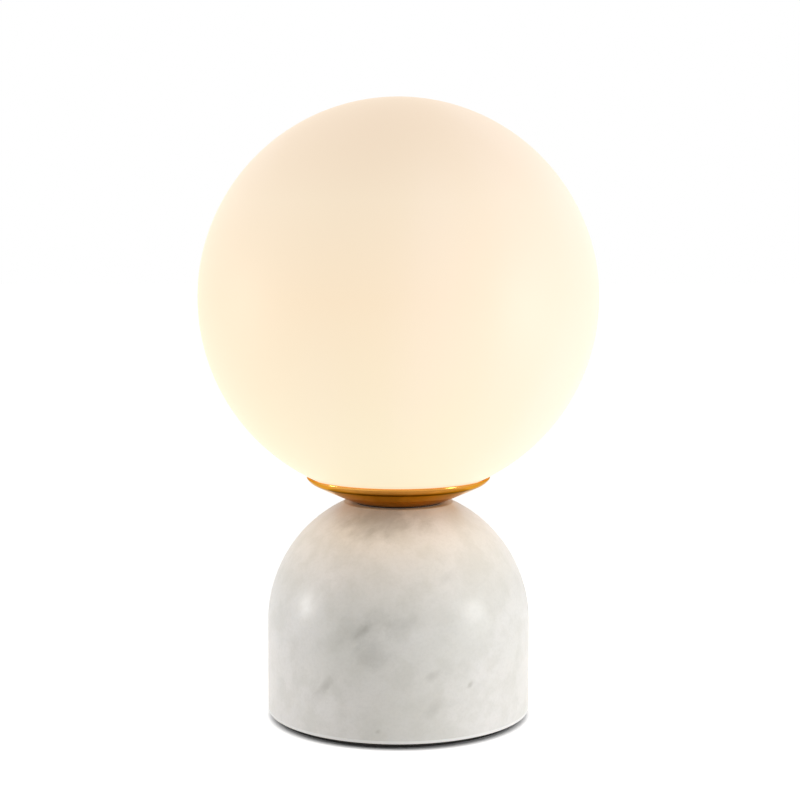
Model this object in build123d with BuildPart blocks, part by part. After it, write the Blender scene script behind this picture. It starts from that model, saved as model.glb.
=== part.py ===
"""Glass globe table lamp: an opal glass globe in a spun brass dish on a domed marble base.

Millimetres, +Z up, front towards -Y. The origin is the centre of the footprint on the table.
The lamp is built up along one vertical stem. The marble stands on a steel foot plate with a felt
pad, the stem clamps the dish, the globe spring and the lampholder bracket on top of the marble,
and the globe stands loose in the dish, held by the three fingers of the spring in its mouth.
"""

from build123d import *

import os
from math import acos, asin, cos, degrees, pi, radians, sin, sqrt, tan

os.makedirs("parts", exist_ok=True)

# ---------------------------------------------------------------------------
# Driving dimensions
# ---------------------------------------------------------------------------

# Clearances
run_gap = 0.3  # between pieces that come apart in use
fit_gap = 0.05  # round a piece that is pressed, screwed or glued in place
slip_gap = 0.15  # round the stem, for what is threaded over it

# Glass globe
globe_dia = 200.0
glass_wall = 3.0
mouth_dia = 60.0  # bored through the bottom of the globe
mouth_edge_break = 0.6

# Felt pad and foot plate
pad_dia = 120.0
pad_thickness = 1.0
plate_dia = 126.0
plate_thickness = 2.0
plate_edge_break = 0.4

# Marble base: a drum with a dome of its own radius, cut flat for the dish
base_dia = 132.0
drum_height = 45.0
dome_seat_dia = 55.0
marble_edge_break = 0.8
marble_wall = 26.0  # round the cavity, at the drum
cavity_depth = 36.0
cavity_corner = 5.0

# Screws that hold the foot plate to the marble
plate_screw_count = 3
plate_screw_dia = 3.0
plate_screw_head_dia = 6.0
plate_screw_length = 10.0
first_screw_angle = 30.0
insert_dia = 5.0
insert_length = 8.0

# Threaded stem with its nuts and washers
stem_dia = 10.0
stem_wall = 1.0
stem_thread_end = 2.0  # of thread past each nut
nut_across_flats = 14.0
nut_thickness = 3.0
nut_face_dia = 13.6  # of the round face that the chamfer leaves
nut_chamfer = 30.0  # degrees from the face
stem_washer_dia = 26.0
stem_washer_thickness = 1.5
cushion_washer_dia = 30.0
cushion_washer_thickness = 1.0

# Spun brass dish and the fibre washer under it
seat_washer_dia = 44.0
seat_washer_thickness = 0.6
dish_floor_dia = 46.0
dish_rim_dia = 93.0
dish_wall = 0.8
dish_floor_slope = 20.6  # degrees from level, where the bowl leaves the floor
dish_bowl_radius = 200.0
dish_lip_radius = 9.0
dish_lip_slope = 60.0  # degrees from level, where the lip ends
gasket_dia = 80.0
gasket_width = 5.0
gasket_thickness = 1.6

# Globe spring: a sprung steel spider whose fingers stand in the mouth of the globe
spring_thickness = 0.5
spring_hub_dia = 26.0
finger_count = 3
finger_width = 8.0
finger_slot_width = 2.4
finger_bend = 1.4
finger_tip_rise = 5.0
finger_tip_lean = 28.0  # degrees from upright
finger_angle = 30.0

# Lampholder bracket: a strap bent to a top hat
strap_thickness = 1.2
strap_width = 14.0
strap_bend = 2.0
bracket_height = 13.0
bracket_screw_dia = 3.0
bracket_screw_head_dia = 5.5
bracket_screw_head_height = 2.0
bracket_screw_end = 1.0
bracket_ear = 4.0  # of strap round each screw

# Ceramic lampholder for a bulb with two looped pins
holder_dia = 20.0
holder_height = 18.0
holder_flange = 4.0
holder_edge_break = 0.5
recess_length = 14.6
recess_width = 6.6
recess_depth = 4.5
recess_floor = 2.0
contact_thickness = 0.4

# Bulb
pin_spacing = 9.0
pin_loop_width = 2.8
pin_wire = 0.8
pin_length = 8.5
bulb_dia = 18.0
bulb_neck_dia = 15.0
bulb_neck_height = 8.0
bulb_length = 50.0
bulb_wall = 1.0
bulb_spigot = 3.0
core_width = 6.0
core_clearance = 5.0
chip_size = 2.4
chip_height = 0.5
chip_rows = 5

# Leads from the terminal block to the lampholder
lead_dia = 1.8
lead_spacing_in_stem = 3.4
lead_bend = 2.5
lead_drop_bend = 7.0
lead_stub = 3.0

# Terminal block in the cavity
block_length = 16.0
block_width = 22.0
block_height = 12.0
block_front = 12.0  # behind the stem's axis
clamp_side = 4.4
clamp_bore_dia = 2.6
clamp_spacing = 13.0
clamp_inset = 1.0
clamp_screw_dia = 2.5
clamp_screw_head = 2.6
block_screw_dia = 3.0
block_screw_head_dia = 5.5
block_screw_head_height = 1.8

# Cord inlet at the back
cord_height = 13.0
inlet_bore_dia = 6.4
inlet_wall = 1.3
inlet_flange_dia = 14.0
inlet_flange_thickness = 1.5
inlet_edge_break = 0.5
inlet_end = 1.5  # of sleeve past the marble, inside the cavity

# ---------------------------------------------------------------------------
# Levels and radii that follow from them
# ---------------------------------------------------------------------------

globe_r = globe_dia / 2
mouth_r = mouth_dia / 2
base_r = base_dia / 2
cavity_r = base_r - marble_wall
stem_r = stem_dia / 2
stem_bore_r = stem_r - stem_wall
stem_hole_r = stem_r + slip_gap

plate_bottom = pad_thickness
marble_bottom = plate_bottom + plate_thickness
dome_spring = marble_bottom + drum_height
dome_seat_r = dome_seat_dia / 2
marble_top = dome_spring + sqrt(base_r**2 - dome_seat_r**2)
cavity_roof = marble_bottom + cavity_depth

# Below the marble's roof the stem carries a cushion washer, a steel washer and a nut.
cushion_bottom = cavity_roof - cushion_washer_thickness
stem_washer_bottom = cushion_bottom - stem_washer_thickness
bottom_nut_bottom = stem_washer_bottom - nut_thickness
stem_bottom = bottom_nut_bottom - stem_thread_end

# Above the marble it carries the seat washer, dish, globe spring, bracket and the top nut.
dish_bottom = marble_top + seat_washer_thickness
dish_floor = dish_bottom + dish_wall
bracket_bottom = dish_floor + spring_thickness
top_nut_bottom = bracket_bottom + strap_thickness
stem_top = top_nut_bottom + nut_thickness + stem_thread_end
nut_corner_r = nut_across_flats / 2 / cos(pi / 6)
nut_face_r = nut_face_dia / 2
nut_blank_r = nut_face_r + nut_thickness / 2 / tan(radians(nut_chamfer))

# The dish's side is a shallow arc, its bowl, that runs into the tighter arc of its lip.
dish_floor_r = dish_floor_dia / 2
dish_rim_r = dish_rim_dia / 2
floor_slope = radians(dish_floor_slope)
lip_slope = radians(dish_lip_slope)
bowl_axis_r = dish_floor_r - dish_bowl_radius * sin(floor_slope)
bowl_axis_height = dish_bottom + dish_bowl_radius * cos(floor_slope)
bowl_centre = (bowl_axis_r, bowl_axis_height)
lip_axis_r = dish_rim_r - dish_lip_radius * sin(lip_slope)
join_slope = asin((lip_axis_r - bowl_axis_r) / (dish_bowl_radius - dish_lip_radius))
lip_axis_height = bowl_axis_height - (dish_bowl_radius - dish_lip_radius) * cos(join_slope)
lip_centre = (lip_axis_r, lip_axis_height)
bowl_inner_radius = dish_bowl_radius - dish_wall
lip_inner_radius = dish_lip_radius - dish_wall
dish_inner_floor_r = bowl_axis_r + sqrt(bowl_inner_radius**2 - (bowl_axis_height - dish_floor) ** 2)
rim_inner_r = lip_axis_r + lip_inner_radius * sin(lip_slope)
rim_inner_height = lip_axis_height - lip_inner_radius * cos(lip_slope)

# The gasket is a band along the bowl's inner side, between two arcs about the bowl's centre.
gasket_top_radius = bowl_inner_radius - gasket_thickness
gasket_outer_slope = asin((gasket_dia / 2 - bowl_axis_r) / bowl_inner_radius)
gasket_inner_slope = asin((gasket_dia / 2 - gasket_width - bowl_axis_r) / bowl_inner_radius)
gasket_edge_r = bowl_axis_r + gasket_top_radius * sin(gasket_outer_slope)
gasket_edge_height = bowl_axis_height - gasket_top_radius * cos(gasket_outer_slope)

# The globe stands over the rim's inner edge and the gasket's, a running gap from the nearer one.
over_rim = rim_inner_height + sqrt((globe_r + run_gap) ** 2 - rim_inner_r**2)
over_gasket = gasket_edge_height + sqrt((globe_r + run_gap) ** 2 - gasket_edge_r**2)
globe_centre = max(over_rim, over_gasket)
glass_inner_r = globe_r - glass_wall
mouth_bottom = globe_centre - sqrt(globe_r**2 - mouth_r**2)
mouth_top = globe_centre - sqrt(glass_inner_r**2 - mouth_r**2)

# Lampholder, seated on the bracket's ears
holder_bottom = bracket_bottom + bracket_height
flange_top = holder_bottom + holder_flange
holder_top = holder_bottom + holder_height
recess_bottom = holder_top - recess_depth
strap_leg = nut_corner_r + run_gap + strap_bend  # from the axis to the middle of a leg
bracket_screw_x = strap_leg + strap_bend + bracket_screw_head_dia / 2
bracket_ear_end = bracket_screw_x + bracket_ear

# Bulb, held by its pins with its neck just over the holder
neck_bottom = holder_top + run_gap
pinch_bottom = recess_bottom + run_gap
pin_end = pinch_bottom - pin_length
bulb_r = bulb_dia / 2
cover_bottom = neck_bottom + bulb_neck_height
cover_top = neck_bottom + bulb_length
cover_inner_r = bulb_r - bulb_wall
spigot_top = cover_bottom + bulb_spigot

# Contacts, one round each pin in its own pocket of the holder
pin_r = pin_wire / 2
pocket_top = recess_bottom - recess_floor
contact_top = pocket_top - run_gap
contact_web = pin_end - run_gap - contact_thickness / 2
contact_gap = pin_r + run_gap + contact_thickness / 2
contact_width = pin_loop_width
pocket_length = pin_loop_width + 2 * run_gap
pocket_width = 2 * (contact_gap + contact_thickness / 2 + fit_gap)

# Terminal block, its middle on the line from the stem to the cord inlet
block_y = block_front + block_length / 2
block_top = marble_bottom + block_height
clamp_height = marble_bottom + block_height / 2
clamp_length = block_length - 2 * clamp_inset

# Cord inlet: its spot-face is cut just deep enough to be flat all round the flange.
inlet_spot_r = inlet_flange_dia / 2 + run_gap
inlet_spot = sqrt(base_r**2 - inlet_spot_r**2)
inlet_sleeve_r = inlet_bore_dia / 2 + inlet_wall
inlet_inner_end = cavity_r - inlet_end
plate_screw_circle = (base_r + cavity_r) / 2

back = Plane(origin=(0, 0, cord_height), x_dir=(-1, 0, 0), z_dir=(0, 1, 0))
underside = Plane(origin=(0, 0, plate_bottom), x_dir=(-1, 0, 0), z_dir=(0, 0, -1))
at_bottom = (Align.CENTER, Align.CENTER, Align.MIN)
at_top = (Align.CENTER, Align.CENTER, Align.MAX)


def ring(outer_r, hole_r):
    """Draw a flat ring in the sketch that is open."""
    Circle(outer_r)
    Circle(hole_r, mode=Mode.SUBTRACT)


def hexagon_with_hole(hole_r):
    """Draw a nut's outline with its hole in the sketch that is open."""
    RegularPolygon(nut_across_flats / 2, side_count=6, major_radius=False)
    Circle(hole_r, mode=Mode.SUBTRACT)


def nut_blank(low):
    """Draw half the section of a nut's double-coned blank in the sketch that is open."""
    middle = low + nut_thickness / 2
    high = low + nut_thickness
    Polygon((0, low), (nut_face_r, low), (nut_blank_r, middle), (nut_face_r, high), (0, high), align=None)


def slope_arc(centre, radius, low_slope, high_slope):
    """Draw an arc in the line that is open, from one slope of its lower side to another, and give it."""
    return CenterArc(centre, radius, degrees(low_slope) - 90, degrees(high_slope - low_slope))


# ---------------------------------------------------------------------------
# Foot: felt pad, steel plate and its screws
# ---------------------------------------------------------------------------

with BuildPart() as felt_pad:
    with BuildSketch():
        Circle(pad_dia / 2)
    extrude(amount=pad_thickness)
felt_pad.part.label = "felt_pad"
export_step(felt_pad.part, "parts/felt_pad.step")

with BuildPart() as base_plate:
    with BuildSketch(Plane.XY.offset(plate_bottom)):
        Circle(plate_dia / 2)
    extrude(amount=plate_thickness)
    chamfer(base_plate.edges().filter_by(GeomType.CIRCLE), length=plate_edge_break)
    with Locations(underside):
        with PolarLocations(plate_screw_circle, plate_screw_count, start_angle=first_screw_angle):
            CounterSinkHole(
                radius=plate_screw_dia / 2 + fit_gap,
                counter_sink_radius=plate_screw_head_dia / 2 + fit_gap,
                depth=plate_thickness,
                counter_sink_angle=90,
            )
    with Locations((0, block_y, marble_bottom)):
        Hole(radius=block_screw_dia / 2 + fit_gap, depth=plate_thickness)
base_plate.part.label = "base_plate"
export_step(base_plate.part, "parts/base_plate.step")

with BuildPart() as plate_screws:
    with Locations((0, 0, plate_bottom)):
        with PolarLocations(plate_screw_circle, plate_screw_count, start_angle=first_screw_angle):
            Cylinder(plate_screw_dia / 2, plate_screw_length, align=at_bottom)
            Cone(
                plate_screw_head_dia / 2,
                plate_screw_dia / 2,
                (plate_screw_head_dia - plate_screw_dia) / 2,
                align=at_bottom,
            )
plate_screws.part.label = "plate_screws"
export_step(plate_screws.part, "parts/plate_screws.step")

with BuildPart() as marble_inserts:
    with BuildSketch(Plane.XY.offset(marble_bottom)):
        with PolarLocations(plate_screw_circle, plate_screw_count, start_angle=first_screw_angle):
            ring(insert_dia / 2, plate_screw_dia / 2 + fit_gap)
    extrude(amount=insert_length)
marble_inserts.part.label = "marble_inserts"
export_step(marble_inserts.part, "parts/marble_inserts.step")

# ---------------------------------------------------------------------------
# Marble base, turned from one block and bored from below
# ---------------------------------------------------------------------------

with BuildPart() as marble_base:
    with BuildSketch(Plane.XZ):
        with BuildLine():
            dome = CenterArc((0, dome_spring), base_r, 0, degrees(acos(dome_seat_r / base_r)))
            Line(dome @ 1, (stem_hole_r, marble_top))
            Line((stem_hole_r, marble_top), (stem_hole_r, cavity_roof))
            Line((stem_hole_r, cavity_roof), (cavity_r - cavity_corner, cavity_roof))
            cove = CenterArc(
                (cavity_r - cavity_corner, cavity_roof - cavity_corner), cavity_corner, 90, -90
            )
            Polyline(
                cove @ 1,
                (cavity_r, marble_bottom),
                (base_r - marble_edge_break, marble_bottom),
                (base_r, marble_bottom + marble_edge_break),
                dome @ 0,
            )
        make_face()
    revolve(axis=Axis.Z)
    with BuildSketch(Plane.XY.offset(marble_bottom)):
        with PolarLocations(plate_screw_circle, plate_screw_count, start_angle=first_screw_angle):
            Circle(insert_dia / 2 + fit_gap)
    extrude(amount=max(insert_length, plate_screw_length) + run_gap, mode=Mode.SUBTRACT)
    with BuildSketch(back.offset(cavity_r / 2)):
        Circle(inlet_sleeve_r + fit_gap)
    extrude(amount=base_r, mode=Mode.SUBTRACT)
    with BuildSketch(back.offset(inlet_spot)):
        Circle(inlet_spot_r)
    extrude(amount=base_r, mode=Mode.SUBTRACT)
marble_base.part.label = "marble_base"
export_step(marble_base.part, "parts/marble_base.step")

with BuildPart() as cord_bushing:
    with BuildSketch(back.offset(inlet_spot)):
        Circle(inlet_flange_dia / 2)
    extrude(amount=inlet_flange_thickness)
    chamfer(cord_bushing.faces().sort_by(Axis.Y)[-1].edges(), length=inlet_edge_break)
    with BuildSketch(back.offset(inlet_inner_end)):
        Circle(inlet_sleeve_r)
    extrude(amount=inlet_spot - inlet_inner_end)
    with BuildSketch(back.offset(inlet_inner_end)):
        Circle(inlet_bore_dia / 2)
    extrude(amount=base_r, mode=Mode.SUBTRACT)
cord_bushing.part.label = "cord_bushing"
export_step(cord_bushing.part, "parts/cord_bushing.step")

# ---------------------------------------------------------------------------
# Stem with its washers and nuts
# ---------------------------------------------------------------------------

with BuildPart() as stem_tube:
    with BuildSketch(Plane.XY.offset(stem_bottom)):
        ring(stem_r, stem_bore_r)
    extrude(amount=stem_top - stem_bottom)
stem_tube.part.label = "stem_tube"
export_step(stem_tube.part, "parts/stem_tube.step")

with BuildPart() as cushion_washer:
    with BuildSketch(Plane.XY.offset(cushion_bottom)):
        ring(cushion_washer_dia / 2, stem_hole_r)
    extrude(amount=cushion_washer_thickness)
cushion_washer.part.label = "cushion_washer"
export_step(cushion_washer.part, "parts/cushion_washer.step")

with BuildPart() as stem_washer:
    with BuildSketch(Plane.XY.offset(stem_washer_bottom)):
        ring(stem_washer_dia / 2, stem_hole_r)
    extrude(amount=stem_washer_thickness)
stem_washer.part.label = "stem_washer"
export_step(stem_washer.part, "parts/stem_washer.step")

with BuildPart() as bottom_nut:
    with BuildSketch(Plane.XY.offset(bottom_nut_bottom)):
        hexagon_with_hole(stem_r + fit_gap)
    extrude(amount=nut_thickness)
    with BuildSketch(Plane.XZ):
        nut_blank(bottom_nut_bottom)
    revolve(axis=Axis.Z, mode=Mode.INTERSECT)
bottom_nut.part.label = "bottom_nut"
export_step(bottom_nut.part, "parts/bottom_nut.step")

with BuildPart() as seat_washer:
    with BuildSketch(Plane.XY.offset(marble_top)):
        ring(seat_washer_dia / 2, stem_hole_r)
    extrude(amount=seat_washer_thickness)
seat_washer.part.label = "seat_washer"
export_step(seat_washer.part, "parts/seat_washer.step")

with BuildPart() as dish_locknut:
    with BuildSketch(Plane.XY.offset(top_nut_bottom)):
        hexagon_with_hole(stem_r + fit_gap)
    extrude(amount=nut_thickness)
    with BuildSketch(Plane.XZ):
        nut_blank(top_nut_bottom)
    revolve(axis=Axis.Z, mode=Mode.INTERSECT)
dish_locknut.part.label = "dish_locknut"
export_step(dish_locknut.part, "parts/dish_locknut.step")

# ---------------------------------------------------------------------------
# Spun brass dish and the silicone ring that the globe stands on
# ---------------------------------------------------------------------------

inner_floor_slope = asin((dish_inner_floor_r - bowl_axis_r) / bowl_inner_radius)

with BuildPart() as fitter_dish:
    with BuildSketch(Plane.XZ):
        with BuildLine():
            under_bowl = slope_arc(bowl_centre, dish_bowl_radius, floor_slope, join_slope)
            under_lip = slope_arc(lip_centre, dish_lip_radius, join_slope, lip_slope)
            over_bowl = slope_arc(bowl_centre, bowl_inner_radius, inner_floor_slope, join_slope)
            over_lip = slope_arc(lip_centre, lip_inner_radius, join_slope, lip_slope)
            Line(under_lip @ 1, over_lip @ 1)
            Polyline(
                under_bowl @ 0,
                (stem_hole_r, dish_bottom),
                (stem_hole_r, dish_floor),
                over_bowl @ 0,
            )
        make_face()
    revolve(axis=Axis.Z)
fitter_dish.part.label = "fitter_dish"
export_step(fitter_dish.part, "parts/fitter_dish.step")

with BuildPart() as rim_gasket:
    with BuildSketch(Plane.XZ):
        with BuildLine():
            seat = slope_arc(bowl_centre, bowl_inner_radius, gasket_inner_slope, gasket_outer_slope)
            top = slope_arc(bowl_centre, gasket_top_radius, gasket_inner_slope, gasket_outer_slope)
            Line(seat @ 0, top @ 0)
            Line(seat @ 1, top @ 1)
        make_face()
    revolve(axis=Axis.Z)
rim_gasket.part.label = "rim_gasket"
export_step(rim_gasket.part, "parts/rim_gasket.step")

# ---------------------------------------------------------------------------
# Globe spring: flat arms along the dish's floor, then fingers bent up into the mouth
# ---------------------------------------------------------------------------

finger_r = mouth_r - run_gap - spring_thickness / 2  # middle of the strip where it meets the glass
spring_level = dish_floor + spring_thickness / 2
finger_root = dish_inner_floor_r - 2 * finger_bend
finger_pad_low = mouth_bottom - finger_bend / 2
finger_pad_high = mouth_top + finger_bend / 2
tip_lean = radians(finger_tip_lean)
finger_route = [
    (spring_hub_dia / 4, spring_level),
    (finger_root, spring_level),
    (finger_r, finger_pad_low),
    (finger_r, finger_pad_high),
    (finger_r - finger_tip_rise * tan(tip_lean), finger_pad_high + finger_tip_rise),
]
slot_start = spring_hub_dia / 2 + finger_slot_width
slot_end = finger_root - finger_slot_width / 2

with BuildPart() as globe_spring:
    with BuildSketch(Plane.XY.offset(dish_floor)):
        ring(spring_hub_dia / 2, stem_hole_r)
    extrude(amount=spring_thickness)
    for number in range(finger_count):
        turn = radians(finger_angle + number * 360 / finger_count)
        outward = (cos(turn), sin(turn), 0)
        with BuildSketch(Plane(origin=(0, 0, 0), x_dir=outward, z_dir=(sin(turn), -cos(turn), 0))):
            with BuildLine():
                FilletPolyline(*finger_route, radius=finger_bend)
            trace(line_width=spring_thickness)
        extrude(amount=finger_width / 2, both=True)
    with BuildSketch(Plane.XY.offset(dish_floor)):
        Circle(stem_hole_r)
        with PolarLocations((slot_start + slot_end) / 2, finger_count, start_angle=finger_angle):
            SlotOverall(slot_end - slot_start + finger_slot_width, finger_slot_width)
    extrude(amount=spring_thickness, mode=Mode.SUBTRACT)
globe_spring.part.label = "globe_spring"
export_step(globe_spring.part, "parts/globe_spring.step")

# ---------------------------------------------------------------------------
# Lampholder bracket and its screws
# ---------------------------------------------------------------------------

strap_low = bracket_bottom + strap_thickness / 2
strap_high = holder_bottom - strap_thickness / 2
strap_route = [
    (-bracket_ear_end, strap_high),
    (-strap_leg, strap_high),
    (-strap_leg, strap_low),
    (strap_leg, strap_low),
    (strap_leg, strap_high),
    (bracket_ear_end, strap_high),
]

with BuildPart() as socket_bracket:
    with BuildSketch(Plane.XZ):
        with BuildLine():
            FilletPolyline(*strap_route, radius=strap_bend)
        trace(line_width=strap_thickness)
    extrude(amount=strap_width / 2, both=True)
    with BuildSketch(Plane.XY.offset(bracket_bottom)):
        Circle(stem_hole_r)
        with Locations((-bracket_screw_x, 0), (bracket_screw_x, 0)):
            Circle(bracket_screw_dia / 2 + fit_gap)
    extrude(amount=bracket_height, mode=Mode.SUBTRACT)
socket_bracket.part.label = "socket_bracket"
export_step(socket_bracket.part, "parts/socket_bracket.step")

with BuildPart() as bracket_screws:
    with Locations((-bracket_screw_x, 0, flange_top), (bracket_screw_x, 0, flange_top)):
        Cylinder(bracket_screw_head_dia / 2, bracket_screw_head_height, align=at_bottom)
        Cylinder(
            bracket_screw_dia / 2,
            holder_flange + strap_thickness + bracket_screw_end,
            align=at_top,
        )
bracket_screws.part.label = "bracket_screws"
export_step(bracket_screws.part, "parts/bracket_screws.step")

# ---------------------------------------------------------------------------
# Ceramic lampholder and its contacts
# ---------------------------------------------------------------------------

with BuildPart() as socket_body:
    with BuildSketch(Plane.XY.offset(holder_bottom)):
        SlotOverall(2 * bracket_ear_end, strap_width)
        Circle(holder_dia / 2)
    extrude(amount=holder_flange)
    with BuildSketch(Plane.XY.offset(flange_top)):
        Circle(holder_dia / 2)
    extrude(amount=holder_height - holder_flange)
    chamfer(socket_body.faces().sort_by(Axis.Z)[-1].edges(), length=holder_edge_break)
    with BuildSketch(Plane.XY.offset(recess_bottom)):
        Rectangle(recess_length, recess_width)
    extrude(amount=recess_depth, mode=Mode.SUBTRACT)
    with BuildSketch(Plane.XY.offset(pocket_top)):
        with Locations((-pin_spacing / 2, 0), (pin_spacing / 2, 0)):
            Rectangle(pocket_length, pin_wire + 2 * run_gap)
    extrude(amount=recess_floor, mode=Mode.SUBTRACT)
    with BuildSketch(Plane.XY.offset(holder_bottom)):
        with Locations((-pin_spacing / 2, 0), (pin_spacing / 2, 0)):
            Rectangle(pocket_length, pocket_width)
    extrude(amount=pocket_top - holder_bottom, mode=Mode.SUBTRACT)
    with BuildSketch(Plane.XY.offset(holder_bottom)):
        with Locations((-bracket_screw_x, 0), (bracket_screw_x, 0)):
            Circle(bracket_screw_dia / 2 + fit_gap)
    extrude(amount=holder_flange, mode=Mode.SUBTRACT)
socket_body.part.label = "socket_body"
export_step(socket_body.part, "parts/socket_body.step")

with BuildPart() as socket_contacts:
    for side in (-1, 1):
        with BuildSketch(Plane.YZ.offset(side * pin_spacing / 2)):
            with BuildLine():
                FilletPolyline(
                    (-contact_gap, contact_top),
                    (-contact_gap, contact_web),
                    (contact_gap, contact_web),
                    (contact_gap, contact_top),
                    radius=contact_thickness,
                )
            trace(line_width=contact_thickness)
        extrude(amount=contact_width / 2, both=True)
socket_contacts.part.label = "socket_contacts"
export_step(socket_contacts.part, "parts/socket_contacts.step")

# ---------------------------------------------------------------------------
# Terminal block in the marble's cavity, screwed to the foot plate
# ---------------------------------------------------------------------------

clamp_plane = Plane(origin=(0, block_y, clamp_height), x_dir=(-1, 0, 0), z_dir=(0, 1, 0))
clamp_spots = [(-clamp_spacing / 2, 0), (clamp_spacing / 2, 0)]
clamp_screw_spots = [
    (x, block_y + y)
    for x in (-clamp_spacing / 2, clamp_spacing / 2)
    for y in (-clamp_length / 4, clamp_length / 4)
]

with BuildPart() as terminal_block:
    with BuildSketch(Plane.XY.offset(marble_bottom)):
        with Locations((0, block_y)):
            RectangleRounded(block_width, block_length, clamp_inset)
    extrude(amount=block_height)
    with BuildSketch(clamp_plane.offset(-block_length / 2)):
        with Locations(*clamp_spots):
            Rectangle(clamp_side + 2 * fit_gap, clamp_side + 2 * fit_gap)
    extrude(amount=block_length, mode=Mode.SUBTRACT)
    with BuildSketch(Plane.XY.offset(clamp_height)):
        with Locations(*clamp_screw_spots):
            Circle(clamp_screw_dia / 2 + fit_gap)
        with Locations((0, block_y)):
            Circle(block_screw_dia / 2 + fit_gap)
    extrude(amount=block_height, mode=Mode.SUBTRACT)
    with BuildSketch(Plane.XY.offset(marble_bottom)):
        with Locations((0, block_y)):
            Circle(block_screw_dia / 2 + fit_gap)
    extrude(amount=block_height, mode=Mode.SUBTRACT)
terminal_block.part.label = "terminal_block"
export_step(terminal_block.part, "parts/terminal_block.step")

with BuildPart() as terminal_clamps:
    with BuildSketch(clamp_plane.offset(-clamp_length / 2)):
        with Locations(*clamp_spots):
            Rectangle(clamp_side, clamp_side)
            Circle(clamp_bore_dia / 2, mode=Mode.SUBTRACT)
    extrude(amount=clamp_length)
    with BuildSketch(Plane.XY.offset(clamp_height)):
        with Locations(*clamp_screw_spots):
            Circle(clamp_screw_dia / 2 + fit_gap)
    extrude(amount=clamp_side, mode=Mode.SUBTRACT)
terminal_clamps.part.label = "terminal_clamps"
export_step(terminal_clamps.part, "parts/terminal_clamps.step")

clamp_screw_end = clamp_height + clamp_bore_dia / 2
with BuildPart() as terminal_screws:
    with BuildSketch(Plane.XY.offset(clamp_screw_end)):
        with Locations(*clamp_screw_spots):
            Circle(clamp_screw_dia / 2)
    extrude(amount=clamp_screw_head)
terminal_screws.part.label = "terminal_screws"
export_step(terminal_screws.part, "parts/terminal_screws.step")

with BuildPart() as block_screw:
    with Locations((0, block_y, block_top)):
        Cylinder(block_screw_head_dia / 2, block_screw_head_height, align=at_bottom)
        Cylinder(block_screw_dia / 2, block_height + plate_thickness, align=at_top)
block_screw.part.label = "block_screw"
export_step(block_screw.part, "parts/block_screw.step")

# ---------------------------------------------------------------------------
# Leads: from the terminal block, up through the stem and out to the contacts
# ---------------------------------------------------------------------------

lead_top = contact_web - contact_thickness / 2
lead_end_y = block_front + clamp_inset + lead_stub
stem_line = lead_spacing_in_stem / 2


def lead_route(side):
    """Corners of one lead, from its contact down to its clamp."""
    return [
        (side * pin_spacing / 2, 0, lead_top),
        (side * pin_spacing / 2, 0, stem_top + 2 * lead_bend),
        (side * stem_line, 0, stem_top - lead_bend),
        (side * stem_line, 0, stem_bottom - lead_bend / 2),
        (side * clamp_spacing / 2, -lead_drop_bend / 2, clamp_height),
        (side * clamp_spacing / 2, lead_end_y, clamp_height),
    ]


lead_bends = [lead_bend, lead_bend, lead_bend, lead_drop_bend]
lead_start = Plane(origin=(0, 0, lead_top), x_dir=(1, 0, 0), z_dir=(0, 0, -1))

with BuildPart() as live_lead:
    with BuildLine() as live_path:
        FilletPolyline(*lead_route(1), radius=lead_bends)
    with BuildSketch(lead_start):
        with Locations((pin_spacing / 2, 0)):
            Circle(lead_dia / 2)
    sweep(path=live_path.line)
live_lead.part.label = "live_lead"
export_step(live_lead.part, "parts/live_lead.step")

with BuildPart() as neutral_lead:
    with BuildLine() as neutral_path:
        FilletPolyline(*lead_route(-1), radius=lead_bends)
    with BuildSketch(lead_start):
        with Locations((-pin_spacing / 2, 0)):
            Circle(lead_dia / 2)
    sweep(path=neutral_path.line)
neutral_lead.part.label = "neutral_lead"
export_step(neutral_lead.part, "parts/neutral_lead.step")

for lead, path in ((live_lead, live_path), (neutral_lead, neutral_path)):
    length = sum(edge.length for edge in path.line.edges())
    share = lead.part.volume / (length * pi * (lead_dia / 2) ** 2)
    print(lead.part.label, "length", round(length, 1), "bends", lead_bends, "volume share", round(share, 4))

# ---------------------------------------------------------------------------
# Bulb: looped pins, moulded neck, light source and frosted cover
# ---------------------------------------------------------------------------

loop_r = (pin_loop_width - pin_wire) / 2  # of the middle of the wire
loop_centre = pin_end + pin_wire / 2 + loop_r
with BuildPart() as bulb_pins:
    for side in (-1, 1):
        pin_x = side * pin_spacing / 2
        with BuildSketch(Plane.XZ):
            with BuildLine():
                down = Line((pin_x - loop_r, pinch_bottom), (pin_x - loop_r, loop_centre))
                turn = ThreePointArc(
                    down @ 1, (pin_x, loop_centre - loop_r), (pin_x + loop_r, loop_centre)
                )
                Line(turn @ 1, (pin_x + loop_r, pinch_bottom))
            trace(line_width=pin_wire)
        extrude(amount=pin_wire / 2, both=True)
bulb_pins.part.label = "bulb_pins"
export_step(bulb_pins.part, "parts/bulb_pins.step")

with BuildPart() as bulb_base:
    with BuildSketch(Plane.XZ):
        with BuildLine():
            Polyline(
                (0, neck_bottom),
                (bulb_neck_dia / 2, neck_bottom),
                (bulb_r, cover_bottom),
                (cover_inner_r - fit_gap, cover_bottom),
                (cover_inner_r - fit_gap, spigot_top),
                (0, spigot_top),
                close=True,
            )
        make_face()
    revolve(axis=Axis.Z)
    with BuildSketch(Plane.XY.offset(pinch_bottom)):
        Rectangle(recess_length - 2 * run_gap, recess_width - 2 * run_gap)
    extrude(amount=neck_bottom - pinch_bottom)
bulb_base.part.label = "bulb_base"
export_step(bulb_base.part, "parts/bulb_base.step")

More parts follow.
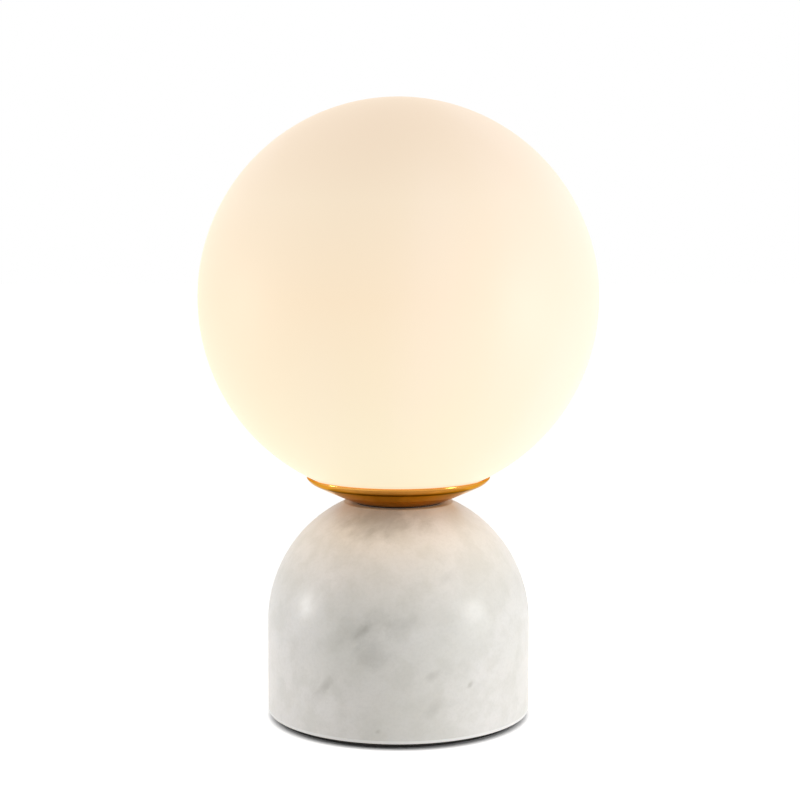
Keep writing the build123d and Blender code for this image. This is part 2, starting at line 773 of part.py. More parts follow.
core_top = cover_top - bulb_wall - core_clearance
core_height = core_top - spigot_top
with BuildPart() as bulb_core:
    with BuildSketch(Plane.XY.offset(spigot_top)):
        Rectangle(core_width, core_width)
    extrude(amount=core_height)
    for face in range(4):
        facing = radians(90 * face)
        side_plane = Plane(
            origin=(core_width / 2 * cos(facing), core_width / 2 * sin(facing), spigot_top + core_height / 2),
            x_dir=(-sin(facing), cos(facing), 0),
            z_dir=(cos(facing), sin(facing), 0),
        )
        with BuildSketch(side_plane):
            with GridLocations(core_width, core_height / chip_rows, 1, chip_rows):
                Rectangle(chip_size, chip_size)
        extrude(amount=chip_height)
bulb_core.part.label = "bulb_core"
export_step(bulb_core.part, "parts/bulb_core.step")

with BuildPart() as bulb_cover:
    with BuildSketch(Plane.XZ):
        with BuildLine():
            outer_dome = CenterArc((0, cover_top - bulb_r), bulb_r, 0, 90)
            inner_dome = CenterArc((0, cover_top - bulb_r), cover_inner_r, 0, 90)
            Line(outer_dome @ 1, inner_dome @ 1)
            Polyline(
                inner_dome @ 0,
                (cover_inner_r, cover_bottom),
                (bulb_r, cover_bottom),
                outer_dome @ 0,
            )
        make_face()
    revolve(axis=Axis.Z)
bulb_cover.part.label = "bulb_cover"
export_step(bulb_cover.part, "parts/bulb_cover.step")

# ---------------------------------------------------------------------------
# Glass globe
# ---------------------------------------------------------------------------

mouth_angle = degrees(acos(mouth_r / globe_r))
inner_mouth_angle = degrees(acos(mouth_r / glass_inner_r))
with BuildPart() as glass_globe:
    with BuildSketch(Plane.XZ):
        with BuildLine():
            outer_arc = CenterArc((0, globe_centre), globe_r, -mouth_angle, mouth_angle + 90)
            inner_arc = CenterArc(
                (0, globe_centre), glass_inner_r, -inner_mouth_angle, inner_mouth_angle + 90
            )
            Line(outer_arc @ 0, inner_arc @ 0)
            Line(outer_arc @ 1, inner_arc @ 1)
        make_face()
    revolve(axis=Axis.Z)
    mouth_edges = glass_globe.edges().filter_by(GeomType.CIRCLE).group_by(Axis.Z)[:2]
    fillet([edge for group in mouth_edges for edge in group], radius=mouth_edge_break)
glass_globe.part.label = "glass_globe"
export_step(glass_globe.part, "parts/glass_globe.step")

print("overall height", round(globe_centre + globe_r, 2), "base", base_dia)
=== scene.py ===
"""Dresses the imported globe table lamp: opal globe, spun brass dish, veined marble base and what they hold.

Metres, +Z up, front towards -Y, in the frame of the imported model. Each sub-assembly is a class that
holds its sizes, builds its meshes and gives them their finishes; main() builds them in order.
"""

import logging
import math
from dataclasses import dataclass
from enum import Enum
from typing import Optional, Sequence, Union

import bmesh
import bpy
from mathutils import Matrix, Vector


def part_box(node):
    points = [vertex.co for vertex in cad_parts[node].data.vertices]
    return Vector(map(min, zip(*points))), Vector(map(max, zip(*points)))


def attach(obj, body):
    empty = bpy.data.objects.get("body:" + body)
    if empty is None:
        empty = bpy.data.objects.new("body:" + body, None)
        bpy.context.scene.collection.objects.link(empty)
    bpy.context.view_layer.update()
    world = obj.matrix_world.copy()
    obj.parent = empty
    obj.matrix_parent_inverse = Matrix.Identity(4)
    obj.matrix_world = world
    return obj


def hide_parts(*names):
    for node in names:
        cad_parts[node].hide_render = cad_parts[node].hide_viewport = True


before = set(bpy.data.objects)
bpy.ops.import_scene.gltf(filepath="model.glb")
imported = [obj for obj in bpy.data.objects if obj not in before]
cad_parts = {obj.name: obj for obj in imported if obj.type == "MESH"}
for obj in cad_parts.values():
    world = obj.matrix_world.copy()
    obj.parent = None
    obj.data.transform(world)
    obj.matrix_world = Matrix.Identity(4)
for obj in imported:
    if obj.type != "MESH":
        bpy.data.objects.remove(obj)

LOG = logging.getLogger("globe_lamp")
MM = 0.001
TURN_STEPS = 256  # of a turned surface, once round
SMALL_STEPS = 96  # of a small turned piece
SHARP = math.radians(32)  # an edge that bends more than this stays sharp
WELD = 0.000002  # points nearer than this become one where a sheet is wrapped

Point = tuple[float, float]
Colour = tuple[float, float, float]
Socket = bpy.types.NodeSocket
Value = Union[float, Socket]


# ---------------------------------------------------------------------------
# Colours and node trees
# ---------------------------------------------------------------------------


def shade(red: float, green: float, blue: float) -> tuple[float, float, float, float]:
    """Turn display values from 0 to 255 into the linear colour that renders as them.

    Args:
        red: Red display value.
        green: Green display value.
        blue: Blue display value.

    Returns:
        The linear colour with an alpha of 1.
    """

    def linear(value: float) -> float:
        """Undo the display curve for one channel."""
        share = value / 255
        return share / 12.92 if share <= 0.04045 else ((share + 0.055) / 1.055) ** 2.4

    return linear(red), linear(green), linear(blue), 1.0


class Tree:
    """A node tree, written in short calls."""

    def __init__(self, tree: bpy.types.NodeTree) -> None:
        """Take a node tree and empty it.

        Args:
            tree: Node tree of a material, a world or a modifier.
        """
        self.tree = tree
        self.tree.nodes.clear()

    def add(self, kind: str, settings: Optional[dict[str, object]] = None,
            **inputs: object) -> bpy.types.Node:
        """Add a node, set its options and set or link its inputs by name.

        Args:
            kind: Blender's name for the node type.
            settings: Options of the node itself.
            **inputs: A value or a socket for each named input, with underscores for spaces.

        Returns:
            The new node.
        """
        node = self.tree.nodes.new(kind)
        for key, value in (settings or {}).items():
            setattr(node, key, value)
        for key, value in inputs.items():
            target = next(s for s in node.inputs if s.name == key.replace("_", " ") and s.enabled)
            self.feed(target, value)
        return node

    def feed(self, target: Socket, value: object) -> None:
        """Link a socket to an input, or set the input's own value.

        Args:
            target: The input.
            value: A value, or the socket that is linked.
        """
        if isinstance(value, bpy.types.NodeSocket):
            self.tree.links.new(value, target)
        else:
            target.default_value = value

    def maths(self, operation: str, first: Value, second: Value = 0.0, clamp: bool = False) -> Socket:
        """Add one step of arithmetic.

        Args:
            operation: Blender's name for the operation.
            first: First operand.
            second: Second operand.
            clamp: Whether the result is kept from 0 to 1.

        Returns:
            The result's socket.
        """
        node = self.add("ShaderNodeMath", {"operation": operation, "use_clamp": clamp})
        self.feed(node.inputs[0], first)
        self.feed(node.inputs[1], second)
        return node.outputs[0]

    def seen(self, mirrored: bool = True, least: float = 0.0) -> Socket:
        """Give 1 for rays by which the camera sees a surface, and less for the others.

        Args:
            mirrored: Whether rays that come by way of a glossy surface count, as those through glass do.
            least: What the other rays get.

        Returns:
            The socket that holds the number.
        """
        path = self.add("ShaderNodeLightPath").outputs
        rays = ["Is Camera Ray", "Is Transmission Ray"] + (["Is Glossy Ray"] if mirrored else [])
        found: Value = least
        for ray in rays:
            found = self.maths("MAXIMUM", found, path[ray])
        return found


class Graph(Tree):
    """A material's node tree, which starts with a principled shader."""

    def __init__(self, name: str) -> None:
        """Start a material.

        Args:
            name: Name of the material.
        """
        self.material = bpy.data.materials.new(name)
        self.material.use_nodes = True
        super().__init__(self.material.node_tree)
        self.shader = self.add("ShaderNodeBsdfPrincipled")
        self.add("ShaderNodeOutputMaterial", Surface=self.shader.outputs[0])
        self.place = self.add("ShaderNodeTexCoord").outputs["Object"]

    def set(self, **inputs: object) -> "Graph":
        """Set or link inputs of the principled shader.

        Args:
            **inputs: A value or a socket for each named input, with underscores for spaces.

        Returns:
            This graph.
        """
        for key, value in inputs.items():
            self.feed(self.shader.inputs[key.replace("_", " ")], value)
        return self

    def between(self, value: Value, low: float, high: float, start: float = 0.0, end: float = 1.0) -> Socket:
        """Map a value smoothly from one range to another, and hold it at the ends.

        Args:
            value: The value.
            low: Value at which the result starts to change.
            high: Value at which it stops changing.
            start: Result up to the first.
            end: Result past the second.

        Returns:
            The result's socket.
        """
        node = self.add("ShaderNodeMapRange", {"interpolation_type": "SMOOTHSTEP"})
        for socket, number in zip(node.inputs, (value, low, high, start, end)):
            self.feed(socket, number)
        return node.outputs[0]

    def moved(self, location: Sequence[float] = (0, 0, 0), turn: Sequence[float] = (0, 0, 0),
              scale: Sequence[float] = (1, 1, 1)) -> Socket:
        """Give the object's coordinates shifted, turned and stretched.

        Args:
            location: Shift in metres.
            turn: Turn about each axis in degrees.
            scale: Stretch along each axis.

        Returns:
            The changed coordinates.
        """
        radians = [math.radians(angle) for angle in turn]
        return self.add("ShaderNodeMapping", Vector=self.place, Location=location, Rotation=radians,
                        Scale=scale).outputs[0]

    def slanted(self, turn: Sequence[float], stretch: Sequence[float]) -> Socket:
        """Give the object's coordinates turned, and then stretched along the turned axes."""
        return self.add("ShaderNodeMapping", Vector=self.moved(turn=turn), Scale=stretch).outputs[0]

    def noise(self, scale: float, detail: float = 3.0, roughness: float = 0.5, distortion: float = 0.0,
              where: Optional[Socket] = None) -> Socket:
        """Add fractal noise.

        Args:
            scale: Waves in a metre.
            detail: Number of finer layers.
            roughness: Share of the finer layers.
            distortion: How far the pattern is pushed about.
            where: Coordinates, which are the object's if not given.

        Returns:
            The socket of its value.
        """
        return self.add("ShaderNodeTexNoise", Vector=where or self.place, Scale=scale, Detail=detail,
                        Roughness=roughness, Distortion=distortion).outputs[0]

    def mix(self, share: Value, first: object, second: object) -> Socket:
        """Mix two colours.

        Args:
            share: Share of the second colour.
            first: First colour.
            second: Second colour.

        Returns:
            The mixed colour's socket.
        """
        node = self.add("ShaderNodeMix", {"data_type": "RGBA"})
        for number, value in ((0, share), (6, first), (7, second)):
            self.feed(node.inputs[number], value)
        return node.outputs[2]

    def ramp(self, share: Value, stops: Sequence[tuple[float, Sequence[float]]]) -> Socket:
        """Look a value up in a colour ramp.

        Args:
            share: Position on the ramp, from 0 to 1.
            stops: Position and colour of each stop, in order.

        Returns:
            The colour's socket.
        """
        node = self.add("ShaderNodeValToRGB")
        elements = node.color_ramp.elements
        while len(elements) < len(stops):
            elements.new(1.0)
        for element, (position, colour) in zip(elements, stops):
            element.position = position
            element.color = colour
        self.feed(node.inputs[0], share)
        return node.outputs[0]

    def bump(self, height: Socket, depth: float) -> "Graph":
        """Roughen the surface by a height from 0 to 1 times a depth in metres."""
        bump = self.add("ShaderNodeBump", Height=height, Distance=depth, Strength=1.0)
        return self.set(Normal=bump.outputs[0])


class Growth(Tree):
    """A geometry node tree with named inputs, whose result becomes a plain mesh."""

    def __init__(self, name: str, sizes: dict[str, float], material: bpy.types.Material) -> None:
        """Start a tree with named inputs for its sizes.

        Args:
            name: Name of the tree.
            sizes: Each named input with its value.
            material: What Set Material gives the result.
        """
        super().__init__(bpy.data.node_groups.new(name, "GeometryNodeTree"))
        self.sizes = sizes
        self.material = material
        for size, value in sizes.items():
            kind = "NodeSocketInt" if isinstance(value, int) else "NodeSocketFloat"
            self.tree.interface.new_socket(size, in_out="INPUT", socket_type=kind)
        self.tree.interface.new_socket("Geometry", in_out="OUTPUT", socket_type="NodeSocketGeometry")
        self.start = self.add("NodeGroupInput")

    def size(self, name: str) -> Socket:
        """Give the socket of one named input."""
        return self.start.outputs[name]

    def spot(self, x: Value = 0.0, y: Value = 0.0, z: Value = 0.0) -> Socket:
        """Put three numbers together as a place, a size or a turn."""
        return self.add("ShaderNodeCombineXYZ", X=x, Y=y, Z=z).outputs[0]

    def share(self, value: Value, low: Value, high: Value) -> Socket:
        """Give how far a value has come from one number to another.

        Args:
            value: The value.
            low: Number at which the share is 0.
            high: Number at which it is 1.

        Returns:
            The socket of the share, from 0 to 1.
        """
        node = self.add("ShaderNodeMapRange")
        for socket, number in zip(node.inputs, (value, low, high)):
            self.feed(socket, number)
        return node.outputs[0]

    def sheet(self, across: Socket, rows: Socket) -> tuple[Socket, Socket, Socket]:
        """Lay a flat grid that is one unit wide and long, to be wrapped into a surface.

        Args:
            across: Number of points across it.
            rows: Number of points along it.

        Returns:
            The grid, and how far a point lies across it and along it, from 0 to 1.
        """
        grid = self.add("GeometryNodeMeshGrid", Size_X=1.0, Size_Y=1.0, Vertices_X=across, Vertices_Y=rows)
        axes = self.add("ShaderNodeSeparateXYZ", Vector=self.add("GeometryNodeInputPosition").outputs[0])
        return (grid.outputs["Mesh"], self.maths("ADD", axes.outputs["X"], 0.5),
                self.maths("ADD", axes.outputs["Y"], 0.5))

    def wrapped(self, sheet: Socket, place: Socket) -> Socket:
        """Move a sheet's points to their places and weld its edges."""
        bent = self.add("GeometryNodeSetPosition", Geometry=sheet, Position=place).outputs[0]
        return self.add("GeometryNodeMergeByDistance", Geometry=bent, Distance=WELD).outputs[0]

    def piece(self, name: str, geometry: Socket) -> bpy.types.Object:
        """Close the tree and turn its result into a plain mesh object.

        Args:
            name: Name of the new piece.
            geometry: The geometry that the tree gives.

        Returns:
            The piece, with no modifier left on it.
        """
        real = self.add("GeometryNodeRealizeInstances", Geometry=geometry)
        painted = self.add("GeometryNodeSetMaterial", Geometry=real.outputs[0], Material=self.material)
        self.add("NodeGroupOutput", Geometry=painted.outputs[0])
        carrier = bpy.data.objects.new(name + "_tree", bpy.data.meshes.new(name + "_seed"))
        bpy.context.scene.collection.objects.link(carrier)
        modifier = carrier.modifiers.new("growth", "NODES")
        modifier.node_group = self.tree
        for item in self.tree.interface.items_tree:
            if item.item_type == "SOCKET" and item.in_out == "INPUT":
                modifier[item.identifier] = self.sizes[item.name]
        depsgraph = bpy.context.evaluated_depsgraph_get()
        mesh = bpy.data.meshes.new_from_object(carrier.evaluated_get(depsgraph))
        bpy.data.objects.remove(carrier)
        bm = bmesh.new()
        bm.from_mesh(mesh)
        return placed(name, bm, mesh)


# ---------------------------------------------------------------------------
# Meshes
# ---------------------------------------------------------------------------


def arc(centre: Point, radius: float, start: float, end: float, steps: int) -> list[Point]:
    """Give points along an arc in the plane of radius and height.

    Args:
        centre: Centre of the arc.
        radius: Radius of the arc.
        start: First angle in degrees, from the outward direction.
        end: Last angle in degrees.
        steps: Number of spans.

    Returns:
        The points, both ends included.
    """
    angles = [math.radians(start + (end - start) * step / steps) for step in range(steps + 1)]
    return [(centre[0] + radius * math.cos(a), centre[1] + radius * math.sin(a)) for a in angles]


def eased(corners: Sequence[Point], radius: float, steps: int = 4) -> list[Point]:
    """Round each corner of a closed outline.

    Args:
        corners: Corners of the outline in order.
        radius: Largest rounding, which short sides reduce.
        steps: Spans of each rounding.

    Returns:
        The rounded outline.
    """
    rounded: list[Point] = []
    count = len(corners)
    for index in range(count):
        here = Vector(corners[index])
        before = Vector(corners[index - 1]) - here
        after = Vector(corners[(index + 1) % count]) - here
        half = before.angle(after) / 2
        reach = min(radius / math.tan(half), before.length * 0.45, after.length * 0.45)
        first, last = here + before.normalized() * reach, here + after.normalized() * reach
        for step in range(steps + 1):
            share = step / steps
            point = first * (1 - share) ** 2 + here * (2 * share * (1 - share)) + last * share**2
            rounded.append((point.x, point.y))
    return rounded


def eased_within(corners: Sequence[Point], radius: float, steps: int = 4) -> list[Point]:
    """Round the corners between the two ends of an outline, and leave the ends out.

    Args:
        corners: Corners of the outline in order.
        radius: Largest rounding, which short sides reduce.
        steps: Spans of each rounding.

    Returns:
        The rounded corners.
    """
    return eased(corners, radius, steps)[steps + 1:-steps - 1]


def band(inner: float, outer: float, low: float, high: float, ease: float) -> list[Point]:
    """Draw the section of a flat ring with rounded edges.

    Args:
        inner: Radius of its hole.
        outer: Its own radius.
        low: Height of its lower face.
        high: Height of its upper face.
        ease: Rounding of its edges.

    Returns:
        The outline.
    """
    return eased([(inner, low), (outer, low), (outer, high), (inner, high)], ease)


def finished(name: str, bm: bmesh.types.BMesh, material: bpy.types.Material) -> bpy.types.Object:
    """Turn a bmesh into a smooth object with outward faces, at the origin.

    Args:
        name: Name of the piece.
        bm: Mesh to finish, which is freed.
        material: Its material.

    Returns:
        The new object.
    """
    mesh = bpy.data.meshes.new(name)
    mesh.materials.append(material)
    return placed(name, bm, mesh)


def placed(name: str, bm: bmesh.types.BMesh, mesh: bpy.types.Mesh) -> bpy.types.Object:
    """Write a bmesh into a mesh and put that in the scene.

    Args:
        name: Name of the piece.
        bm: Its shape, which is freed.
        mesh: Its mesh, which has its material.

    Returns:
        The new object, at the origin.
    """
    closed(bm, mesh)
    piece = bpy.data.objects.new(name, mesh)
    bpy.context.scene.collection.objects.link(piece)
    return piece


def closed(bm: bmesh.types.BMesh, mesh: bpy.types.Mesh) -> None:
    """Merge doubles, turn the faces outwards and write a bmesh into a smooth mesh.

    Args:
        bm: The shape, which is freed.
        mesh: The mesh that takes it.
    """
    bmesh.ops.remove_doubles(bm, verts=bm.verts, dist=1e-7)
    bmesh.ops.dissolve_degenerate(bm, dist=1e-8, edges=bm.edges)
    bmesh.ops.recalc_face_normals(bm, faces=bm.faces)
    bm.to_mesh(mesh)
    bm.free()
    mesh.shade_smooth()
    mesh.set_sharp_from_angle(angle=SHARP)


def lathe(bm: bmesh.types.BMesh, outline: Sequence[Point], steps: int, place: Matrix = Matrix()) -> None:
    """Add a closed outline turned about an axis to a bmesh.

    Args:
        bm: Mesh that takes the surface.
        outline: Radius and height of each point, round the section.
        steps: Steps once round.
        place: Where the axis stands, upright at the origin if not given.
    """
    turns = [2 * math.pi * step / steps for step in range(steps)]
    rings = [[bm.verts.new(place @ Vector((reach * math.cos(turn), reach * math.sin(turn), height)))
              for turn in turns] for reach, height in outline]
    for index, ring in enumerate(rings):
        after = (index + 1) % len(rings)
        if outline[index][0] < 1e-9 and outline[after][0] < 1e-9:
            continue
        for step in range(steps):
            beside = (step + 1) % steps
            bm.faces.new((ring[step], ring[beside], rings[after][beside], rings[after][step]))


def ringed(bm: bmesh.types.BMesh, columns: Sequence[Sequence[bmesh.types.BMVert]]) -> None:
    """Join columns of points that stand in a ring, and that each go round a section, by faces.

    Args:
        bm: Mesh that takes the faces.
        columns: The points of each column.
    """
    for index, column in enumerate(columns):
        after = columns[(index + 1) % len(columns)]
        for row in range(len(column)):
            below = (row + 1) % len(column)
            bm.faces.new((column[row], after[row], after[below], column[below]))


def turned(name: str, outline: Sequence[Point], material: bpy.types.Material, steps: int = TURN_STEPS,
           place: Matrix = Matrix()) -> bpy.types.Object:
    """Turn a closed outline into a piece.

    Args:
        name: Name of the piece.
        outline: Radius and height of each point, round the section.
        material: Its material.
        steps: Steps once round.
        place: Where the axis stands, upright at the origin if not given.

    Returns:
        The turned piece.
    """
    bm = bmesh.new()
    lathe(bm, outline, steps, place)
    return finished(name, bm, material)


def cut(piece: bpy.types.Object, cutters: bmesh.types.BMesh) -> bpy.types.Object:
    """Cut holes in a piece.

    Args:
        piece: The piece that loses the material.
        cutters: Closed forms to take away, which are freed.

    Returns:
        The same piece, with its holes.
    """
    tool = finished(piece.name + "_cutter", cutters, piece.data.materials[0])
    modifier = piece.modifiers.new("holes", "BOOLEAN")
    modifier.solver = "EXACT"
    modifier.object = tool
    whole = bpy.data.meshes.new_from_object(piece.evaluated_get(bpy.context.evaluated_depsgraph_get()))
    piece.modifiers.clear()
    bpy.data.objects.remove(tool)
    bm = bmesh.new()
    bm.from_mesh(whole)
    bmesh.ops.triangulate(bm, faces=[face for face in bm.faces if len(face.verts) > 4])
    closed(bm, piece.data)
    return piece


def softened(node: str, name: str, material: bpy.types.Material, width: float) -> bpy.types.Object:
    """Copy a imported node, close its triangles and round its sharp edges.

    Args:
        node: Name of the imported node.
        name: Name of the copy.
        material: Material of the copy.
        width: Width of the rounding in metres.

    Returns:
        The copy, which stands for the node.
    """
    bm = bmesh.new()
    bm.from_mesh(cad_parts[node].data)
    bmesh.ops.remove_doubles(bm, verts=bm.verts, dist=1e-6)
    bmesh.ops.dissolve_limit(bm, angle_limit=math.radians(1), verts=bm.verts, edges=bm.edges)
    sharp = [edge for edge in bm.edges if len(edge.link_faces) == 2 and edge.calc_face_angle(0) > SHARP]
    bmesh.ops.bevel(bm, geom=sharp, offset=width, segments=2, profile=0.5, affect="EDGES", clamp_overlap=True)
    bmesh.ops.triangulate(bm, faces=[face for face in bm.faces if len(face.verts) > 4])
    piece = finished(name, bm, material)
    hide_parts(node)
    return piece


def seated(piece: bpy.types.Object, body: str, slot: str, *nodes: str) -> bpy.types.Object:
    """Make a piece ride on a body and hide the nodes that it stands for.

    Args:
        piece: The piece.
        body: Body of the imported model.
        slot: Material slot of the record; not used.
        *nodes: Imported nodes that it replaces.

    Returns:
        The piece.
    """
    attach(piece, body)
    if nodes:
        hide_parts(*nodes)
    LOG.info("%s: %d faces on %s", piece.name, len(piece.data.polygons), body)
    return piece


# ---------------------------------------------------------------------------
# Finishes
# ---------------------------------------------------------------------------


@dataclass(frozen=True)
class OpalGlow:
    """Satin opal glass lit from inside by a warm bulb, whose light is warmer on what stands round it."""

    low: float  # height of the globe's mouth
    high: float  # height of its top
    radius: float
    strength: float = 0.80
    brighter: float = 3.0  # level of its light on what stands round it, before `kept` draws it back
    mouth_light: float = 2.7  # the same near the mouth, where the dish shades the glass
    shaded: float = 0.075  # how far up from the mouth that shade reaches
    kept: float = 0.5  # share, in that light, of the level and colour that the camera sees

    def material(self) -> bpy.types.Material:
        """Build the material: the glow is fullest low down and thins upwards, with faint upright clouds and a
        painted paler light on the right side.

        Returns:
            The material.
        """
        g = Graph("opal_glass")
        axes = g.add("ShaderNodeSeparateXYZ", Vector=g.place)
        rise = g.between(axes.outputs["Z"], self.low, self.high)
        glow = g.ramp(rise, [
            (0.0, shade(255, 241, 205)),
            (0.2, shade(255, 236, 201)),
            (0.5, shade(255, 231, 196)),
            (0.82, shade(251, 230, 200)),
            (1.0, shade(244, 220, 192)),
        ])
        cloud = g.noise(9.0, 2.0, 0.5, 0.6, g.moved(scale=(1.4, 1.0, 0.45)))
        # painted light: the glass is made paler towards the right, where the right-hand lamp falls on it;
        # this and the clouds pale both the glow and the base colour
        painted_right_side_light = g.between(axes.outputs["X"], 0.0, self.radius, 0.0, 0.35)
        cloud_and_painted_side_light = g.maths("ADD", g.between(cloud, 0.40, 0.72, 0.0, 0.22), painted_right_side_light)
        watched = g.seen(mirrored=False, least=self.kept)
        clear = self.low + self.shaded
        given = g.between(axes.outputs["Z"], self.low, clear, self.mouth_light, self.brighter)
        lit = g.maths("ADD", given, g.maths("MULTIPLY", watched, g.maths("SUBTRACT", 1.0, given)))
        risen = g.between(axes.outputs["Z"], self.low, clear)
        amber = g.mix(risen, shade(255, 186, 108), shade(255, 200, 136))
        warm = g.mix(watched, amber, g.mix(cloud_and_painted_side_light, glow, shade(255, 234, 217)))
        g.set(
            Base_Color=g.mix(cloud_and_painted_side_light, shade(138, 135, 130), shade(148, 145, 141)),
            Roughness=0.5,
            Specular_IOR_Level=0.18,
            Emission_Color=warm,
            Emission_Strength=g.maths("MULTIPLY", lit, self.strength),
        )
        return g.bump(g.noise(55.0, 2.0, 0.4), 0.00006).material


@dataclass(frozen=True)
class Smudge:
    """One soft grey mark on the marble's front (most are veins, one is painted shade under the dish): where
    it is, its size, its lean and how dark it is.
    """

    x: float
    z: float
    length: float
    width: float
    lean: float  # degrees from level, rising to the right
    depth: float


@dataclass(frozen=True)
class WhiteMarble:
    """Polished white marble with soft slanting clouds, a few blurred grey veins, painted shade under the dish
    and a painted white highlight along the foot's edge.
    """

    veins_and_painted_shade: tuple[Smudge, ...]
    foot: float  # height of the foot's rounded edge, just above which a thin white highlight is painted

    def soft_mark(self, g: Graph, smudge: Smudge, ragged: Socket) -> Socket:
        """Draw one mark, a vein or the painted shade: a blurred ellipse with a ragged outline, on the front
        alone.

        Args:
            g: Node tree of the marble.
            smudge: The smudge.
            ragged: How far its outline is pushed in or out.

        Returns:
            The socket of its darkness.
        """
        lean = math.radians(smudge.lean)
        axes = g.add("ShaderNodeSeparateXYZ", Vector=g.moved(location=(-smudge.x, 0.0, -smudge.z)))
        x, z = axes.outputs["X"], axes.outputs["Z"]
        along = g.maths("ADD", g.maths("MULTIPLY", x, math.cos(lean) / smudge.length),
                        g.maths("MULTIPLY", z, math.sin(lean) / smudge.length))
        across = g.maths("SUBTRACT", g.maths("MULTIPLY", z, math.cos(lean) / smudge.width),
                         g.maths("MULTIPLY", x, math.sin(lean) / smudge.width))
        away = g.maths("SQRT", g.maths("ADD", g.maths("MULTIPLY", along, along),
                                       g.maths("MULTIPLY", across, across)))
        edge = g.maths("ADD", away, ragged)
        front = g.between(axes.outputs["Y"], -0.03, -0.01, 1.0, 0.0)
        return g.maths("MULTIPLY", g.between(edge, 0.0, 1.1, smudge.depth, 0.0), front)

    def material(self) -> bpy.types.Material:
        """Build the material: clouds and faint slanting veins all round, the veins and painted shade on the
        front, and a painted white highlight along the foot's edge.

        Returns:
            The material.
        """
        g = Graph("white_marble")
        slant = g.slanted((12.0, 42.0, 8.0), (0.75, 1.0, 1.5))
        cloud = g.between(g.noise(13.0, 2.0, 0.45, 0.4, slant), 0.30, 0.72)
        broad = g.between(g.noise(7.0, 2.0, 0.4, 0.3, g.moved(location=(0.4, 0.2, 0.1))), 0.35, 0.7)
        streak = g.between(g.noise(22.0, 4.0, 0.55, 0.3, slant), 0.54, 0.78)
        dark = g.maths("MULTIPLY", g.maths("MULTIPLY", streak, broad), 0.20)
        ragged = g.maths("MULTIPLY", g.maths("SUBTRACT", g.noise(110.0, 5.0, 0.6, 0.3, slant), 0.5), 1.5)
        for smudge in self.veins_and_painted_shade:
            dark = g.maths("ADD", dark, self.soft_mark(g, smudge, ragged))
        grain = g.noise(620.0, 3.0, 0.7)
        mottle = g.noise(85.0, 3.0, 0.55)
        ground = g.mix(cloud, shade(244, 243, 241), shade(232, 232, 227))
        patchy = g.mix(g.between(mottle, 0.38, 0.66, 0.0, 0.26), ground, shade(210, 210, 201))
        fine = g.mix(g.between(grain, 0.38, 0.7, 0.0, 0.14), patchy, shade(204, 203, 198))
        veined = g.mix(g.maths("MULTIPLY", dark, 1.0, clamp=True), fine, shade(126, 125, 113))
        height = g.add("ShaderNodeSeparateXYZ", Vector=g.place).outputs["Z"]
        # painted highlight: a thin white line just above the foot, where the edge of the base catches light
        edge = g.between(height, self.foot + 0.0006, self.foot + 0.001, 1.0, 0.0)
        g.set(
            Base_Color=g.mix(edge, veined, shade(252, 252, 250)),
            Roughness=g.between(g.noise(40.0, 3.0), 0.3, 0.7, 0.30, 0.38),
            Subsurface_Weight=0.10,
            Subsurface_Radius=(0.004, 0.0035, 0.003),
            Subsurface_Scale=1.0,
            Specular_IOR_Level=0.3,
        )
        return g.bump(g.noise(260.0, 3.0, 0.6), 0.00002).material


@dataclass(frozen=True)
class SpunMetal:
    """Metal turned or spun about the lamp's axis, with fine rings from the tool and, where asked, a painted
    dark band that stands for a reflection.
    """

    name: str
    colour: Colour
    dull: Colour
    roughness: float
    ring_depth: float = 0.000004
    line: float = -1.0  # distance from the axis of a painted dark band, a painted reflection of dark surroundings, if there is one
    painted_band_half: float = 0.0021
    painted_band_colour: Colour = (58, 6, 0)
    edge_tint: tuple[float, float, float, float] = (1.0, 1.0, 1.0, 1.0)  # of what it mirrors at a slant

    def material(self) -> bpy.types.Material:
        """Build the material: fine rings about the axis, slow changes of colour and polish, and the painted
        dark band.

        Returns:
            The material.
        """
        g = Graph(self.name)
        axes = g.add("ShaderNodeSeparateXYZ", Vector=g.place)
        x, y = axes.outputs["X"], axes.outputs["Y"]
        out = g.maths("SQRT", g.maths("ADD", g.maths("MULTIPLY", x, x), g.maths("MULTIPLY", y, y)))
        across = g.add("ShaderNodeCombineXYZ", X=out, Y=0.0, Z=axes.outputs["Z"])
        rings = g.noise(1600.0, 2.0, 0.6, 0.0, across.outputs[0])
        cloud = g.noise(28.0, 3.0, 0.5)
        off = g.maths("ABSOLUTE", g.maths("SUBTRACT", out, self.line))
        metal = g.mix(g.between(cloud, 0.35, 0.7, 0.0, 0.5), shade(*self.colour), shade(*self.dull))
        g.set(
            # painted reflection: the base colour turns dark red in a thin band round the line, for the dark
            # surroundings mirrored there
            Base_Color=g.mix(g.between(off, 0.0, self.painted_band_half, 1.0, 0.0), metal, shade(*self.painted_band_colour)),
            Specular_Tint=self.edge_tint,
            Metallic=1.0,
            Roughness=g.maths("ADD", g.maths("MULTIPLY", rings, 0.10), self.roughness),
        )
        return g.bump(rings, self.ring_depth).material


@dataclass(frozen=True)
class PlainMetal:
    """Plated, rolled or turned small metal parts, with faint scratches and clouds."""

    name: str
    colour: Colour
    dull: Colour
    roughness: float

    def material(self) -> bpy.types.Material:
        """Build the material.

        Returns:
            The material.
        """
        g = Graph(self.name)
        cloud = g.noise(120.0, 4.0, 0.6)
        scratch = g.noise(60.0, 3.0, 0.7, 0.0, g.moved(turn=(0, 0, 30), scale=(1.0, 22.0, 1.0)))
        g.set(
            Base_Color=g.mix(g.between(cloud, 0.35, 0.7), shade(*self.colour), shade(*self.dull)),
            Metallic=1.0,
            Roughness=g.maths("ADD", g.maths("MULTIPLY", scratch, 0.16), self.roughness),
        )
        return g.bump(scratch, 0.00001).material


class Skin(Enum):
    """How a plain surface is textured."""

    SMOOTH = 180.0
    GRAINED = 900.0
    FELTED = 2600.0


